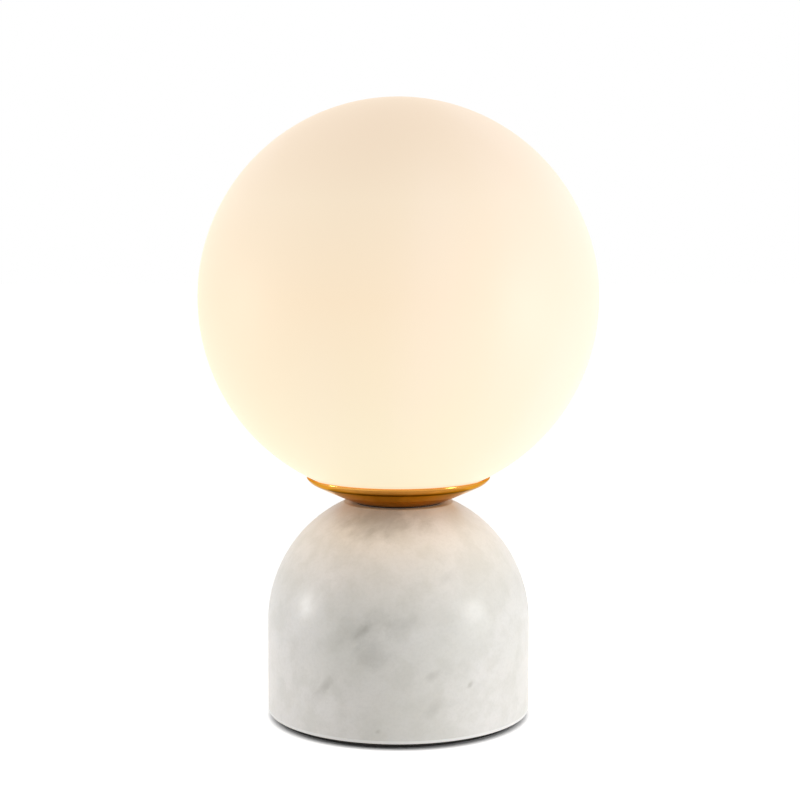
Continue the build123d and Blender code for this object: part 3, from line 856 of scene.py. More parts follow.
@dataclass(frozen=True)
class PlainSkin:
    """Plastic, rubber, fibre, ceramic or felt: a colour with small changes and a texture."""

    name: str
    colour: Colour
    deeper: Colour
    roughness: float
    skin: Skin
    depth: float
    sheen: float = 0.0
    coat: float = 0.0
    glow: float = 0.0

    def material(self) -> bpy.types.Material:
        """Build the material.

        Returns:
            The material.
        """
        g = Graph(self.name)
        cloud = g.noise(70.0, 3.0, 0.5)
        grain = g.noise(self.skin.value, 3.0, 0.65)
        blend = g.maths("ADD", g.maths("MULTIPLY", cloud, 0.5), g.maths("MULTIPLY", grain, 0.5))
        g.set(
            Base_Color=g.mix(g.between(blend, 0.38, 0.62), shade(*self.colour), shade(*self.deeper)),
            Roughness=g.between(grain, 0.2, 0.8, self.roughness - 0.05, self.roughness + 0.05),
            Sheen_Weight=self.sheen,
            Coat_Weight=self.coat,
            Coat_Roughness=0.12,
            Emission_Color=shade(*self.colour),
            Emission_Strength=self.glow,
        )
        return g.bump(grain, self.depth).material


# ---------------------------------------------------------------------------
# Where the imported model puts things
# ---------------------------------------------------------------------------


def bottom(node: str) -> float:
    """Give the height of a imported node's lowest point."""
    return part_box(node)[0].z


def top(node: str) -> float:
    """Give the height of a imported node's highest point."""
    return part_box(node)[1].z


def upright(x: float = 0.0, y: float = 0.0, z: float = 0.0) -> Matrix:
    """Give the place of a piece whose axis stands upright at a point."""
    return Matrix.Translation((x, y, z))


def backward(height: float) -> Matrix:
    """Give the place of a piece whose axis points straight back from the lamp's axis at a height."""
    return upright(0.0, 0.0, height) @ Matrix.Rotation(math.radians(-90), 4, "X")


# ---------------------------------------------------------------------------
# Studio
# ---------------------------------------------------------------------------


@dataclass(frozen=True)
class Softbox:
    """One large soft lamp, aimed at the middle of the base."""

    name: str
    away: tuple[float, float, float]  # direction from the base
    distance: float
    width: float
    height: float
    watts: float


@dataclass
class Studio:
    """White sweep, soft daylight and the camera."""

    camera_place: tuple[float, float, float] = (0.0008, -0.8595, 0.2484)
    camera_pitch: float = 3.947  # degrees below level
    lens: float = 77.3
    shift: float = -0.074  # of the picture, as a share of its side
    sensor: float = 36.0
    ambient: float = 0.47
    floor_side: float = 12.0
    floor_lift: float = 0.66  # white added to what the camera sees of the floor
    floor_paint: Colour = (238, 238, 238)
    contact: float = 0.0035  # how far from the lamp that white starts to fade towards it
    contact_end: float = 0.35  # openness to the sky at which none of it is left
    aim: tuple[float, float, float] = (0.0, 0.0, 0.06)
    softboxes: tuple[Softbox, ...] = (
        Softbox("softbox_right", (0.89, -0.37, 0.12), 1.0, 0.20, 0.27, 4.1),
        Softbox("softbox_left", (-0.97, -0.05, 0.15), 1.0, 0.15, 0.20, 2.4),
    )

    def sky(self) -> None:
        """Make the world: white where it is seen, and a plain soft light elsewhere."""
        world = bpy.data.worlds.new("white_studio")
        world.use_nodes = True
        tree = Tree(world.node_tree)
        strength = tree.add("ShaderNodeMapRange", Value=tree.seen(), To_Min=self.ambient, To_Max=1.0)
        light = tree.add("ShaderNodeBackground", Color=(1.0, 1.0, 1.0, 1.0), Strength=strength.outputs[0])
        tree.add("ShaderNodeOutputWorld", Surface=light.outputs[0])
        bpy.context.scene.world = world

    def table(self) -> None:
        """Lay the white table top, which keeps the lamp's soft shadow."""
        material = bpy.data.materials.new("white_table")
        material.use_nodes = True
        tree = Tree(material.node_tree)
        near = tree.add("ShaderNodeAmbientOcclusion", Distance=self.contact)
        clear = tree.add("ShaderNodeMapRange", Value=near.outputs["AO"], From_Min=self.contact_end)
        white = tree.maths("MULTIPLY", tree.seen(), self.floor_lift)
        lift = tree.add("ShaderNodeEmission", Strength=tree.maths("MULTIPLY", white, clear.outputs[0]))
        paint = tree.add("ShaderNodeBsdfDiffuse", Color=shade(*self.floor_paint))
        both = tree.add("ShaderNodeAddShader")
        tree.feed(both.inputs[0], paint.outputs[0])
        tree.feed(both.inputs[1], lift.outputs[0])
        tree.add("ShaderNodeOutputMaterial", Surface=both.outputs[0])
        bm = bmesh.new()
        bmesh.ops.create_grid(bm, x_segments=1, y_segments=1, size=self.floor_side / 2)
        mesh = bpy.data.meshes.new("table_top")
        bm.to_mesh(mesh)
        bm.free()
        mesh.materials.append(material)
        floor = bpy.data.objects.new("table_top", mesh)
        bpy.context.scene.collection.objects.link(floor)

    def lamps(self) -> None:
        """Hang the softboxes and aim them at the base."""
        for box in self.softboxes:
            light = bpy.data.lights.new(box.name, "AREA")
            light.shape = "RECTANGLE"
            light.size, light.size_y = box.width, box.height
            light.energy = box.watts
            lamp = bpy.data.objects.new(box.name, light)
            away = Vector(box.away).normalized()
            lamp.location = Vector(self.aim) + away * box.distance
            lamp.rotation_euler = away.to_track_quat("Z", "Y").to_euler()
            bpy.context.scene.collection.objects.link(lamp)

    def camera(self) -> None:
        """Set the camera where the photograph was taken from."""
        data = bpy.data.cameras.new("camera")
        data.lens, data.sensor_width, data.shift_y = self.lens, self.sensor, self.shift
        camera = bpy.data.objects.new("camera", data)
        camera.location = self.camera_place
        camera.rotation_euler = (math.radians(90 - self.camera_pitch), 0.0, 0.0)
        bpy.context.scene.collection.objects.link(camera)
        bpy.context.scene.camera = camera

    def build(self) -> None:
        """Set up the light, the table, the camera and the plain view of colours."""
        bpy.context.scene.view_settings.view_transform = "Standard"
        self.sky()
        self.table()
        self.lamps()
        self.camera()
        LOG.info("studio: %d softboxes", len(self.softboxes))


# ---------------------------------------------------------------------------
# Glass globe
# ---------------------------------------------------------------------------


@dataclass
class GlassGlobe:
    """Blown opal globe with a fire-polished mouth."""

    radius: float = 100 * MM
    wall: float = 3 * MM
    mouth_radius: float = 30 * MM
    steps: int = 192  # once round
    side_rows: int = 84  # from the top to the mouth, outside and again inside
    lip_rows: int = 12

    def shape(self, material: bpy.types.Material) -> bpy.types.Object:
        """Blow the globe: a grid wrapped round the section of the wall, with a half-round lip.

        Args:
            material: The opal glass.

        Returns:
            The globe.
        """
        middle = self.radius - self.wall / 2
        grow = Growth("blown_globe", {
            "Steps": self.steps + 1,
            "Rows": 2 * self.side_rows + self.lip_rows + 1,
            "Lip Start": self.side_rows / (2 * self.side_rows + self.lip_rows),
            "Lip End": (self.side_rows + self.lip_rows) / (2 * self.side_rows + self.lip_rows),
            "Mouth Angle": math.pi - math.asin((self.mouth_radius + self.wall / 2) / middle),
            "Middle Radius": middle,
            "Half Wall": self.wall / 2,
            "Centre": top("glass_globe") - self.radius,
        }, material)
        sheet, round_share, along = grow.sheet(grow.size("Steps"), grow.size("Rows"))
        around = grow.maths("MULTIPLY", round_share, 2 * math.pi)
        down = grow.share(along, 0.0, grow.size("Lip Start"))
        lip = grow.maths("MULTIPLY", grow.share(along, grow.size("Lip Start"), grow.size("Lip End")), math.pi)
        up = grow.share(along, grow.size("Lip End"), 1.0)
        slope = grow.maths("MULTIPLY", grow.maths("SUBTRACT", down, up), grow.size("Mouth Angle"))
        reach = grow.maths("ADD", grow.size("Middle Radius"),
                           grow.maths("MULTIPLY", grow.maths("COSINE", lip), grow.size("Half Wall")))
        past = grow.maths("MULTIPLY", grow.maths("SINE", lip), grow.size("Half Wall"))
        sine, cosine = grow.maths("SINE", slope), grow.maths("COSINE", slope)
        out = grow.maths("ADD", grow.maths("MULTIPLY", reach, sine), grow.maths("MULTIPLY", past, cosine))
        rise = grow.maths("SUBTRACT", grow.maths("MULTIPLY", reach, cosine),
                          grow.maths("MULTIPLY", past, sine))
        spot = grow.spot(grow.maths("MULTIPLY", out, grow.maths("COSINE", around)),
                         grow.maths("MULTIPLY", out, grow.maths("SINE", around)),
                         grow.maths("ADD", rise, grow.size("Centre")))
        return grow.piece("opal_globe", grow.wrapped(sheet, spot))

    def build(self) -> None:
        """Build the globe and hang its finish on it."""
        glass = OpalGlow(low=bottom("glass_globe"), high=top("glass_globe"), radius=self.radius).material()
        seated(self.shape(glass), "globe", "opal_glass", "glass_globe")


# ---------------------------------------------------------------------------
# Marble base
# ---------------------------------------------------------------------------


@dataclass
class MarbleBase:
    """Domed drum turned from one block, bored from below and drilled for the cord inlet."""

    radius: float = 66 * MM
    seat_radius: float = 27.5 * MM
    seat_ease: float = 0.4 * MM
    dome_steps: int = 48
    drum_steps: int = 12
    edge_break: float = 0.8 * MM
    cavity_radius: float = 40 * MM
    cavity_corner: float = 5 * MM
    stem_hole: float = 5.15 * MM
    insert_radius: float = 2.55 * MM
    insert_depth: float = 10.3 * MM
    insert_circle: float = 53 * MM
    insert_count: int = 3
    first_insert: float = 30.0  # degrees from the right-hand side
    inlet_height: float = 13 * MM
    inlet_hole: float = 4.55 * MM
    inlet_spot: float = 7.3 * MM
    veins_and_painted_shade: tuple[Smudge, ...] = (
        Smudge(-0.0168, 0.0568, 0.0066, 0.0032, 42.0, 0.24),
        Smudge(-0.0130, 0.0590, 0.0190, 0.0075, 34.0, 0.17),
        Smudge(-0.0135, 0.0460, 0.0120, 0.0090, 25.0, 0.18),
        Smudge(0.0030, 0.0605, 0.0120, 0.0062, 28.0, 0.13),
        Smudge(-0.0350, 0.0285, 0.0100, 0.0026, 48.0, 0.20),
        Smudge(-0.0390, 0.0230, 0.0090, 0.0050, 48.0, 0.10),
        Smudge(0.0155, 0.0355, 0.0050, 0.0026, 30.0, 0.17),
        Smudge(0.0340, 0.0290, 0.0022, 0.0015, 60.0, 0.28),
        Smudge(0.0170, 0.0200, 0.0085, 0.0040, 50.0, 0.12),
        Smudge(-0.0098, 0.0090, 0.0022, 0.0013, 30.0, 0.20),
        # painted shadow: the dark patch on the top of the dome, where the dish shades the marble, not a vein
        Smudge(-0.0080, 0.1045, 0.0260, 0.0105, 3.0, 0.40),
        Smudge(0.0230, 0.0800, 0.0060, 0.0030, 30.0, 0.08),
    )

    def outline(self) -> list[Point]:
        """Draw the section: the dome, the seat, the stem hole, the cavity and the foot's edge.

        Returns:
            Radius and height of each point.
        """
        low, high = bottom("marble_base"), top("marble_base")
        roof = top("cushion_washer")
        spring = high - math.sqrt(self.radius**2 - self.seat_radius**2)
        seat_angle = math.degrees(math.acos(self.seat_radius / self.radius))
        dome = arc((0.0, spring), self.radius, 0.0, seat_angle, self.dome_steps)
        seat = eased_within([dome[-2], dome[-1], (self.stem_hole, high)], self.seat_ease)
        cove = arc((self.cavity_radius - self.cavity_corner, roof - self.cavity_corner), self.cavity_corner,
                   90.0, 0.0, 8)
        edge = arc((self.radius - self.edge_break, low + self.edge_break), self.edge_break, -90.0, 0.0, 5)
        rise = spring - low - self.edge_break
        wall = [(self.radius, low + self.edge_break + step * rise / self.drum_steps)
                for step in range(1, self.drum_steps)]
        return [*dome[:-1], *seat, (self.stem_hole, high), (self.stem_hole, roof), *cove,
                (self.cavity_radius, low), *edge, *wall]

    def holes(self) -> bmesh.types.BMesh:
        """Give the forms that drill the cord inlet, its flat seat and the holes for the inserts.

        Returns:
            The closed forms.
        """
        spot = math.sqrt(self.radius**2 - self.inlet_spot**2)
        bm = bmesh.new()
        inlet = backward(self.inlet_height)
        far = self.radius * 1.3  # well out of the stone
        lathe(bm, [(0.0, self.cavity_radius / 2), (self.inlet_hole, self.cavity_radius / 2),
                   (self.inlet_hole, spot), (self.inlet_spot, spot), (self.inlet_spot, far), (0.0, far)],
              SMALL_STEPS, inlet)
        low = bottom("marble_base")
        for number in range(self.insert_count):
            turn = math.radians(self.first_insert + number * 360 / self.insert_count)
            place = upright(self.insert_circle * math.cos(turn), self.insert_circle * math.sin(turn), low)
            lathe(bm, [(0.0, -self.insert_depth), (self.insert_radius, -self.insert_depth),
                       (self.insert_radius, self.insert_depth), (0.0, self.insert_depth)], 32, place)
        return bm

    def build(self) -> None:
        """Turn the block, drill it and polish it."""
        stone = WhiteMarble(self.veins_and_painted_shade, bottom("marble_base") + self.edge_break).material()
        block = cut(turned("marble_dome", self.outline(), stone), self.holes())
        seated(block, "base", "marble", "marble_base")


# ---------------------------------------------------------------------------
# Brass dish
# ---------------------------------------------------------------------------


@dataclass
class BrassDish:
    """Spun brass dish, a shallow bowl with a tighter lip, and what lies above and below it."""

    wall: float = 0.8 * MM
    floor_radius: float = 23 * MM
    rim_radius: float = 46.5 * MM
    floor_slope: float = 20.6  # degrees from level
    bowl_radius: float = 200 * MM
    lip_radius: float = 9 * MM
    lip_slope: float = 60.0  # degrees from level
    hole: float = 5.15 * MM
    rim_round: float = 0.7 * MM  # of the rim's outer edge
    rim_ease: float = 0.15 * MM  # of its inner edge
    bead_end: float = 50.0  # degrees from level to which the rounding turns
    line: float = 42.9 * MM  # from the axis to the painted dark band where the lip starts, a painted reflection of dark surroundings
    gasket_radius: float = 40 * MM
    gasket_width: float = 5 * MM
    gasket_thickness: float = 1.6 * MM
    washer_radius: float = 22 * MM
    washer_ease: float = 0.1 * MM
    rows: int = 24
    bead_rows: int = 14

    def bowl_centre(self) -> Point:
        """Give the centre of the bowl's arc.

        Returns:
            Its distance from the axis and its height.
        """
        slope = math.radians(self.floor_slope)
        return (self.floor_radius - self.bowl_radius * math.sin(slope),
                bottom("fitter_dish") + self.bowl_radius * math.cos(slope))

    def join_slope(self) -> float:
        """Give the slope, in degrees, at which the bowl runs into the lip."""
        lip = self.rim_radius - self.lip_radius * math.sin(math.radians(self.lip_slope))
        return math.degrees(math.asin((lip - self.bowl_centre()[0]) / (self.bowl_radius - self.lip_radius)))

    def slope_at(self, reach: float) -> float:
        """Give the slope, in degrees, of the bowl's inner side at a distance from the axis."""
        return math.degrees(math.asin((reach - self.bowl_centre()[0]) / (self.bowl_radius - self.wall)))

    def side(self, inset: float, floor_slope: float, end_slope: float) -> list[Point]:
        """Draw the side from the floor towards the rim.

        Args:
            inset: How far inside the outer face the line runs.
            floor_slope: Slope in degrees at which it leaves the floor.
            end_slope: Slope in degrees at which it ends.

        Returns:
            The bowl's arc and then the lip's.
        """
        join = self.join_slope()
        centre = self.bowl_centre()
        apart = self.bowl_radius - self.lip_radius
        way = math.radians(join)
        lip = (centre[0] + apart * math.sin(way), centre[1] - apart * math.cos(way))
        bowl = arc(centre, self.bowl_radius - inset, floor_slope - 90, join - 90, self.rows)
        return [*bowl[:-1], *arc(lip, self.lip_radius - inset, join - 90, end_slope - 90, self.rows)]

    def outline(self) -> list[Point]:
        """Draw the dish's section, with the rim's outer edge rounded over.

        Returns:
            Radius and height of each point.
        """
        floor = bottom("fitter_dish") + self.wall
        drop = self.bowl_centre()[1] - floor
        inner_floor = self.bowl_centre()[0] + math.sqrt((self.bowl_radius - self.wall) ** 2 - drop**2)
        turn = self.lip_slope - math.degrees(self.rim_round / self.lip_radius)
        under = self.side(0.0, self.floor_slope, turn)
        over = self.side(self.wall, self.slope_at(inner_floor), self.lip_slope)
        way = math.radians(turn - 90)
        middle = (under[-1][0] - self.rim_round * math.cos(way),
                  under[-1][1] - self.rim_round * math.sin(way))
        bead = arc(middle, self.rim_round, turn - 90, self.bead_end, self.bead_rows)
        inner = eased_within([bead[-1], over[-1], over[-2]], self.rim_ease)
        return [*under[:-1], *bead, *inner, *reversed(over[:-1]), (self.hole, floor),
                (self.hole, floor - self.wall)]

    def gasket(self) -> list[Point]:
        """Draw the silicone ring, a band along the bowl's inner side.

        Returns:
            Radius and height of each point.
        """
        narrow, wide = (self.slope_at(reach) - 90 for reach in
                        (self.gasket_radius - self.gasket_width, self.gasket_radius))
        seat = self.bowl_radius - self.wall
        under = arc(self.bowl_centre(), seat, narrow, wide, self.rows)
        over = arc(self.bowl_centre(), seat - self.gasket_thickness, wide, narrow, self.rows)
        return [*under, *over]

    def build(self) -> None:
        """Spin the dish and lay the fibre washer and the silicone ring."""
        brass = SpunMetal("spun_brass", (214, 156, 78), (188, 122, 46), 0.06, line=self.line,
                          edge_tint=shade(238, 208, 158)).material()
        seated(turned("brass_dish", self.outline(), brass), "base", "spun_brass", "fitter_dish")
        fibre = PlainSkin("black_fibre", (34, 32, 30), (24, 22, 21), 0.7, Skin.GRAINED, 0.00003).material()
        low, high = bottom("seat_washer"), top("seat_washer")
        flat = band(self.hole, self.washer_radius, low, high, self.washer_ease)
        seated(turned("fibre_washer", flat, fibre), "base", "black_fibre", "seat_washer")
        silicone = PlainSkin("clear_silicone", (226, 224, 218), (210, 208, 202), 0.45, Skin.SMOOTH,
                             0.00002).material()
        seated(turned("silicone_ring", self.gasket(), silicone), "base", "silicone", "rim_gasket")


# ---------------------------------------------------------------------------
# Foot
# ---------------------------------------------------------------------------


@dataclass
class Foot:
    """Steel foot plate, drilled for its screws, with the felt pad that is glued under it."""

    plate_radius: float = 63 * MM
    plate_ease: float = 0.4 * MM
    pad_radius: float = 60 * MM
    pad_ease: float = 0.3 * MM
    screw_count: int = 3
    screw_circle: float = 53 * MM
    first_screw: float = 30.0  # degrees from the right-hand side
    screw_hole: float = 1.55 * MM
    sink_radius: float = 3.05 * MM
    block_hole: float = 1.55 * MM
    drill: float = 0.5 * MM  # how far a drill comes out of the plate

    def disc(self, name: str, node: str, radius: float, ease: float,
             material: bpy.types.Material) -> bpy.types.Object:
        """Turn a disc with rounded edges between a node's bottom and top.

        Args:
            name: Name of the piece.
            node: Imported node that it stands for.
            radius: Its radius.
            ease: Rounding of its edges.
            material: Its material.

        Returns:
            The disc.
        """
        low, high = bottom(node), top(node)
        corners = [(0.0, low), (radius, low), (radius, high), (0.0, high)]
        return turned(name, [corners[0], *eased_within(corners, ease), corners[-1]], material)

    def holes(self) -> bmesh.types.BMesh:
        """Give the forms that drill and countersink the plate.

        Returns:
            The closed forms.
        """
        low, high = bottom("base_plate"), top("base_plate") + self.drill
        bm = bmesh.new()
        for number in range(self.screw_count):
            turn = math.radians(self.first_screw + number * 360 / self.screw_count)
            place = upright(self.screw_circle * math.cos(turn), self.screw_circle * math.sin(turn))
            wide = self.sink_radius + self.drill
            lathe(bm, [(0.0, low - self.drill), (wide, low - self.drill),
                       (self.screw_hole, low + self.sink_radius - self.screw_hole), (self.screw_hole, high),
                       (0.0, high)], SMALL_STEPS, place)
        low_corner, high_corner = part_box("block_screw")
        place = upright(0.0, (low_corner.y + high_corner.y) / 2)
        lathe(bm, [(0.0, low - self.drill), (self.block_hole, low - self.drill), (self.block_hole, high),
                   (0.0, high)], SMALL_STEPS, place)
        return bm

    def build(self) -> None:
        """Turn and drill the plate and cut the pad."""
        steel = SpunMetal("polished_steel", (44, 43, 42), (30, 29, 28), 0.30).material()
        felt = PlainSkin("black_felt", (40, 39, 38), (26, 25, 25), 0.95, Skin.FELTED, 0.0002,
                         sheen=0.4).material()
        plate = self.disc("steel_foot_plate", "base_plate", self.plate_radius, self.plate_ease, steel)
        seated(cut(plate, self.holes()), "base", "polished_steel", "base_plate")
        pad = self.disc("felt_foot_pad", "felt_pad", self.pad_radius, self.pad_ease, felt)
        seated(pad, "base", "felt", "felt_pad")


# ---------------------------------------------------------------------------
# Threads, nuts and screws
# ---------------------------------------------------------------------------


@dataclass
class Thread:
    """A cut thread on a rod or a tube, into whose surface a sheet is wrapped."""

    radius: float
    bore: float  # 0 for a solid rod
    low: float
    high: float
    pitch: float
    depth: float
    steps: int = 48  # once round
    rows_per_turn: int = 6
    end_rows: int = 2  # across each end and along the bore

    def build(self, name: str, material: bpy.types.Material) -> bpy.types.Object:
        """Cut the thread: up the outside in a helix, across the end, down the bore and across the other end.

        Args:
            name: Name of the piece.
            material: Its metal.

        Returns:
            The threaded piece, about the lamp's axis.
        """
        rows = max(int((self.high - self.low) / self.pitch * self.rows_per_turn), self.rows_per_turn)
        total = rows + 3 * self.end_rows
        grow = Growth("cut_thread", {
            "Steps": self.steps + 1,
            "Rows": total + 1,
            "Outside End": rows / total,
            "Top End": (rows + self.end_rows) / total,
            "Bore End": (rows + 2 * self.end_rows) / total,
            "Radius": self.radius,
            "Bore": self.bore,
            "Low": self.low,
            "High": self.high,
            "Pitch": self.pitch,
            "Half Depth": self.depth / 2,
        }, material)
        sheet, turn, along = grow.sheet(grow.size("Steps"), grow.size("Rows"))
        up = grow.share(along, 0.0, grow.size("Outside End"))
        inward = grow.share(along, grow.size("Outside End"), grow.size("Top End"))
        down = grow.share(along, grow.size("Top End"), grow.size("Bore End"))
        outward = grow.share(along, grow.size("Bore End"), 1.0)
        span = grow.maths("SUBTRACT", grow.size("High"), grow.size("Low"))
        risen = grow.maths("MULTIPLY", span, grow.maths("SUBTRACT", up, down))
        height = grow.maths("ADD", grow.size("Low"), risen)
        phase = grow.maths("SUBTRACT", grow.maths("DIVIDE", height, grow.size("Pitch")), turn)
        wave = grow.maths("COSINE", grow.maths("MULTIPLY", phase, 2 * math.pi))
        cut_in = grow.maths("MULTIPLY", grow.maths("SUBTRACT", 1.0, wave), grow.size("Half Depth"))
        flank = grow.maths("SUBTRACT", grow.size("Radius"), cut_in)
        within = grow.maths("SUBTRACT", inward, outward)
        reach = grow.maths("ADD", grow.maths("MULTIPLY", flank, grow.maths("SUBTRACT", 1.0, within)),
                           grow.maths("MULTIPLY", grow.size("Bore"), within))
        angle = grow.maths("MULTIPLY", turn, 2 * math.pi)
        spot = grow.spot(grow.maths("MULTIPLY", reach, grow.maths("COSINE", angle)),
                         grow.maths("MULTIPLY", reach, grow.maths("SINE", angle)), height)
        return grow.piece(name, grow.wrapped(sheet, spot))


@dataclass
class HexNut:
    """A hexagon nut with the rounded corners that its two chamfers leave."""

    across_flats: float = 14 * MM
    face_radius: float = 6.8 * MM
    hole: float = 5.05 * MM
    chamfer: float = 30.0  # degrees from the face
    steps_per_side: int = 12

    def build(self, name: str, low: float, high: float, material: bpy.types.Material) -> bpy.types.Object:
        """Cut the nut between two heights.

        Args:
            name: Name of the piece.
            low: Height of its lower face.
            high: Height of its upper face.
            material: Its metal.

        Returns:
            The nut.
        """
        flat, face = self.across_flats / 2, self.face_radius
        bm = bmesh.new()
        columns = []
        for step in range(6 * self.steps_per_side):
            angle = math.radians(60 * step / self.steps_per_side)
            side = angle % math.radians(60) - math.radians(30)
            reach = flat / math.cos(side)
            drop = (reach - face) * math.tan(math.radians(self.chamfer))
            outline = [(self.hole, low), (face, low), (reach, low + drop), (reach, high - drop), (face, high),
                       (self.hole, high)]
            columns.append([bm.verts.new((r * math.cos(angle), r * math.sin(angle), z)) for r, z in outline])
        ringed(bm, columns)
        return finished(name, bm, material)


class Drive(Enum):
    """The recess in a screw's head: the turns of its bars, and their length in radii of the head."""

    SLOT = ((0.0,), 2.4)
    CROSS = ((0.0, math.pi / 2), 1.2)


@dataclass
class Screw:
    """A machine screw that points down from its head, with its head's underside at height 0."""

    shank: float  # radius
    length: float
    head: float  # radius
    head_height: float
    drive: Drive
    countersunk: bool = False
    pitch: float = 0.5 * MM
    head_ease: float = 0.35 * MM
    recess_width: float = 0.26  # of the head's radius
    recess_depth: float = 0.36  # of the head's radius
    steps: int = 48  # round the head

    def head_outline(self) -> list[Point]:
        """Draw the head: a cheese head above 0, or a countersunk one whose flat face is at 0.

        Returns:
            Radius and height of each point.
        """
        if self.countersunk:
            return [(0.0, 0.0), (self.head, 0.0), (self.head, 0.02 * MM),
                    (self.shank, self.head - self.shank), (0.0, self.head - self.shank)]
        corners = [(0.0, 0.0), (self.head, 0.0), (self.head, self.head_height), (0.0, self.head_height)]
        return [corners[0], *eased_within(corners, self.head_ease), corners[-1]]

    def recess(self) -> bmesh.types.BMesh:
        """Draw what is cut out of the head.

        Returns:
            The closed forms of its slot or cross.
        """
        face = 0.0 if self.countersunk else self.head_height
        width, depth = self.head * self.recess_width, self.head * self.recess_depth
        bm = bmesh.new()
        turns, reach = self.drive.value
        reach *= self.head
        for turn in turns:
            place = upright(0.0, 0.0, face) @ Matrix.Rotation(turn, 4, "Z")
            bar = Matrix.Diagonal((reach, width, 2 * depth, 1.0))
            bmesh.ops.create_cube(bm, size=1.0, matrix=place @ bar)
        return bm

    def source(self, name: str, material: bpy.types.Material) -> bpy.types.Object:
        """Make one screw, for others to be set out from.

        Args:
            name: Name of the screw.
            material: Its metal.

        Returns:
            The screw, at the origin.
        """
        head = cut(turned(name + "_head", self.head_outline(), material, self.steps), self.recess())
        start = self.head - self.shank if self.countersunk else 0.0
        ends = (start, self.length) if self.countersunk else (-self.length, start)
        thread = Thread(self.shank, 0.0, *ends, self.pitch, self.pitch / 2, self.steps // 2)
        shank = thread.build(name + "_shank", material)
        bm = bmesh.new()
        for part in (head, shank):
            bm.from_mesh(part.data)
            bpy.data.objects.remove(part)
        return finished(name, bm, material)


@dataclass
class Layout:
    """Where the copies of a small piece stand: the middle of their pattern and its turn."""

    y: float = 0.0
    z: float = 0.0
    first: float = 0.0  # degrees that the pattern is turned by

    def sizes(self) -> dict[str, float]:
        """Give the named inputs that every pattern has."""
        return {"Y": self.y, "Z": self.z, "First Turn": math.radians(self.first), "Turn Each": 0.0}

    def points(self, grow: Growth) -> Socket:
        """Give the points of the pattern."""
        raise NotImplementedError


@dataclass
class Ring(Layout):
    """Three or more copies evenly round a circle, each turned to face outwards."""

    count: int = 3
    radius: float = 0.0

    def sizes(self) -> dict[str, float]:
        """Give the named inputs of a ring."""
        return {**super().sizes(), "Turn Each": 2 * math.pi / self.count, "Count": self.count,
                "Radius": self.radius}

    def points(self, grow: Growth) -> Socket:
        """Give the points of a circle."""
        return grow.add("GeometryNodeMeshCircle", Vertices=grow.size("Count"),
                        Radius=grow.size("Radius")).outputs[0]


@dataclass
class Rows(Layout):
    """Copies in level rows."""

    across: int = 2
    deep: int = 2
    width: float = 0.0
    depth: float = 0.0

    def sizes(self) -> dict[str, float]:
        """Give the named inputs of the rows."""
        return {**super().sizes(), "Across": self.across, "Deep": self.deep, "Width": self.width,
                "Depth": self.depth}

    def points(self, grow: Growth) -> Socket:
        """Give the points of a grid."""
        return grow.add("GeometryNodeMeshGrid", Size_X=grow.size("Width"), Size_Y=grow.size("Depth"),
                        Vertices_X=grow.size("Across"), Vertices_Y=grow.size("Deep")).outputs[0]


def set_out(name: str, source: bpy.types.Object, layout: Layout) -> bpy.types.Object:
    """Set copies of a small piece out by a rule and join them into one piece.

    Args:
        name: Name of the piece.
        source: The piece that is copied, which is removed.
        layout: How the copies stand.

    Returns:
        The copies, as one mesh.
    """
    grow = Growth("set_out", layout.sizes(), source.data.materials[0])
    points = layout.points(grow)
    original = grow.add("GeometryNodeObjectInfo", Object=source)
    index = grow.add("GeometryNodeInputIndex").outputs[0]
    turn = grow.spot(z=grow.maths("MULTIPLY", index, grow.size("Turn Each")))
    copies = grow.add("GeometryNodeInstanceOnPoints", Points=points, Instance=original.outputs["Geometry"],
                      Rotation=turn)
    stood = grow.add("GeometryNodeTransform", Geometry=copies.outputs[0],
                     Translation=grow.spot(y=grow.size("Y"), z=grow.size("Z")),
                     Rotation=grow.spot(z=grow.size("First Turn")))
    piece = grow.piece(name, stood.outputs[0])
    bpy.data.objects.remove(source)
    return piece


# ---------------------------------------------------------------------------
# Stem
# ---------------------------------------------------------------------------


@dataclass
class StemStack:
    """Threaded tube up the middle of the lamp, with the washers and nuts that clamp it all together."""

    radius: float = 5 * MM
    bore: float = 4 * MM
    pitch: float = 1 * MM
    depth: float = 0.45 * MM
    hole: float = 5.15 * MM
    steel_washer: float = 13 * MM
    steel_ease: float = 0.2 * MM
    cushion_washer: float = 15 * MM
    cushion_ease: float = 0.25 * MM

    def washer(self, name: str, node: str, radius: float, ease: float,
               material: bpy.types.Material) -> bpy.types.Object:
        """Turn a flat washer between a node's bottom and top.

        Args:
            name: Name of the piece.
            node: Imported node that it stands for.
            radius: Its radius.
            ease: Rounding of its edges.
            material: Its material.

        Returns:
            The washer.
        """
        return turned(name, band(self.hole, radius, bottom(node), top(node), ease), material, SMALL_STEPS)

    def build(self) -> None:
        """Cut the tube's thread, turn the washers and cut the nuts."""
        steel = PlainMetal("plated_steel", (196, 196, 190), (172, 172, 166), 0.26).material()
        rubber = PlainSkin("black_rubber", (38, 37, 36), (26, 26, 25), 0.8, Skin.GRAINED, 0.00004).material()
        tube = Thread(self.radius, self.bore, bottom("stem_tube"), top("stem_tube"), self.pitch, self.depth)
        seated(tube.build("threaded_stem", steel), "base", "plated_steel", "stem_tube")
        flat = self.washer("steel_washer", "stem_washer", self.steel_washer, self.steel_ease, steel)
        seated(flat, "base", "plated_steel", "stem_washer")
        soft = self.washer("rubber_washer", "cushion_washer", self.cushion_washer, self.cushion_ease, rubber)
        seated(soft, "base", "black_rubber", "cushion_washer")
        for name, node in (("lower_nut", "bottom_nut"), ("upper_nut", "dish_locknut")):
            seated(HexNut().build(name, bottom(node), top(node), steel), "base", "plated_steel", node)


# ---------------------------------------------------------------------------
# Globe spring and lampholder
# ---------------------------------------------------------------------------


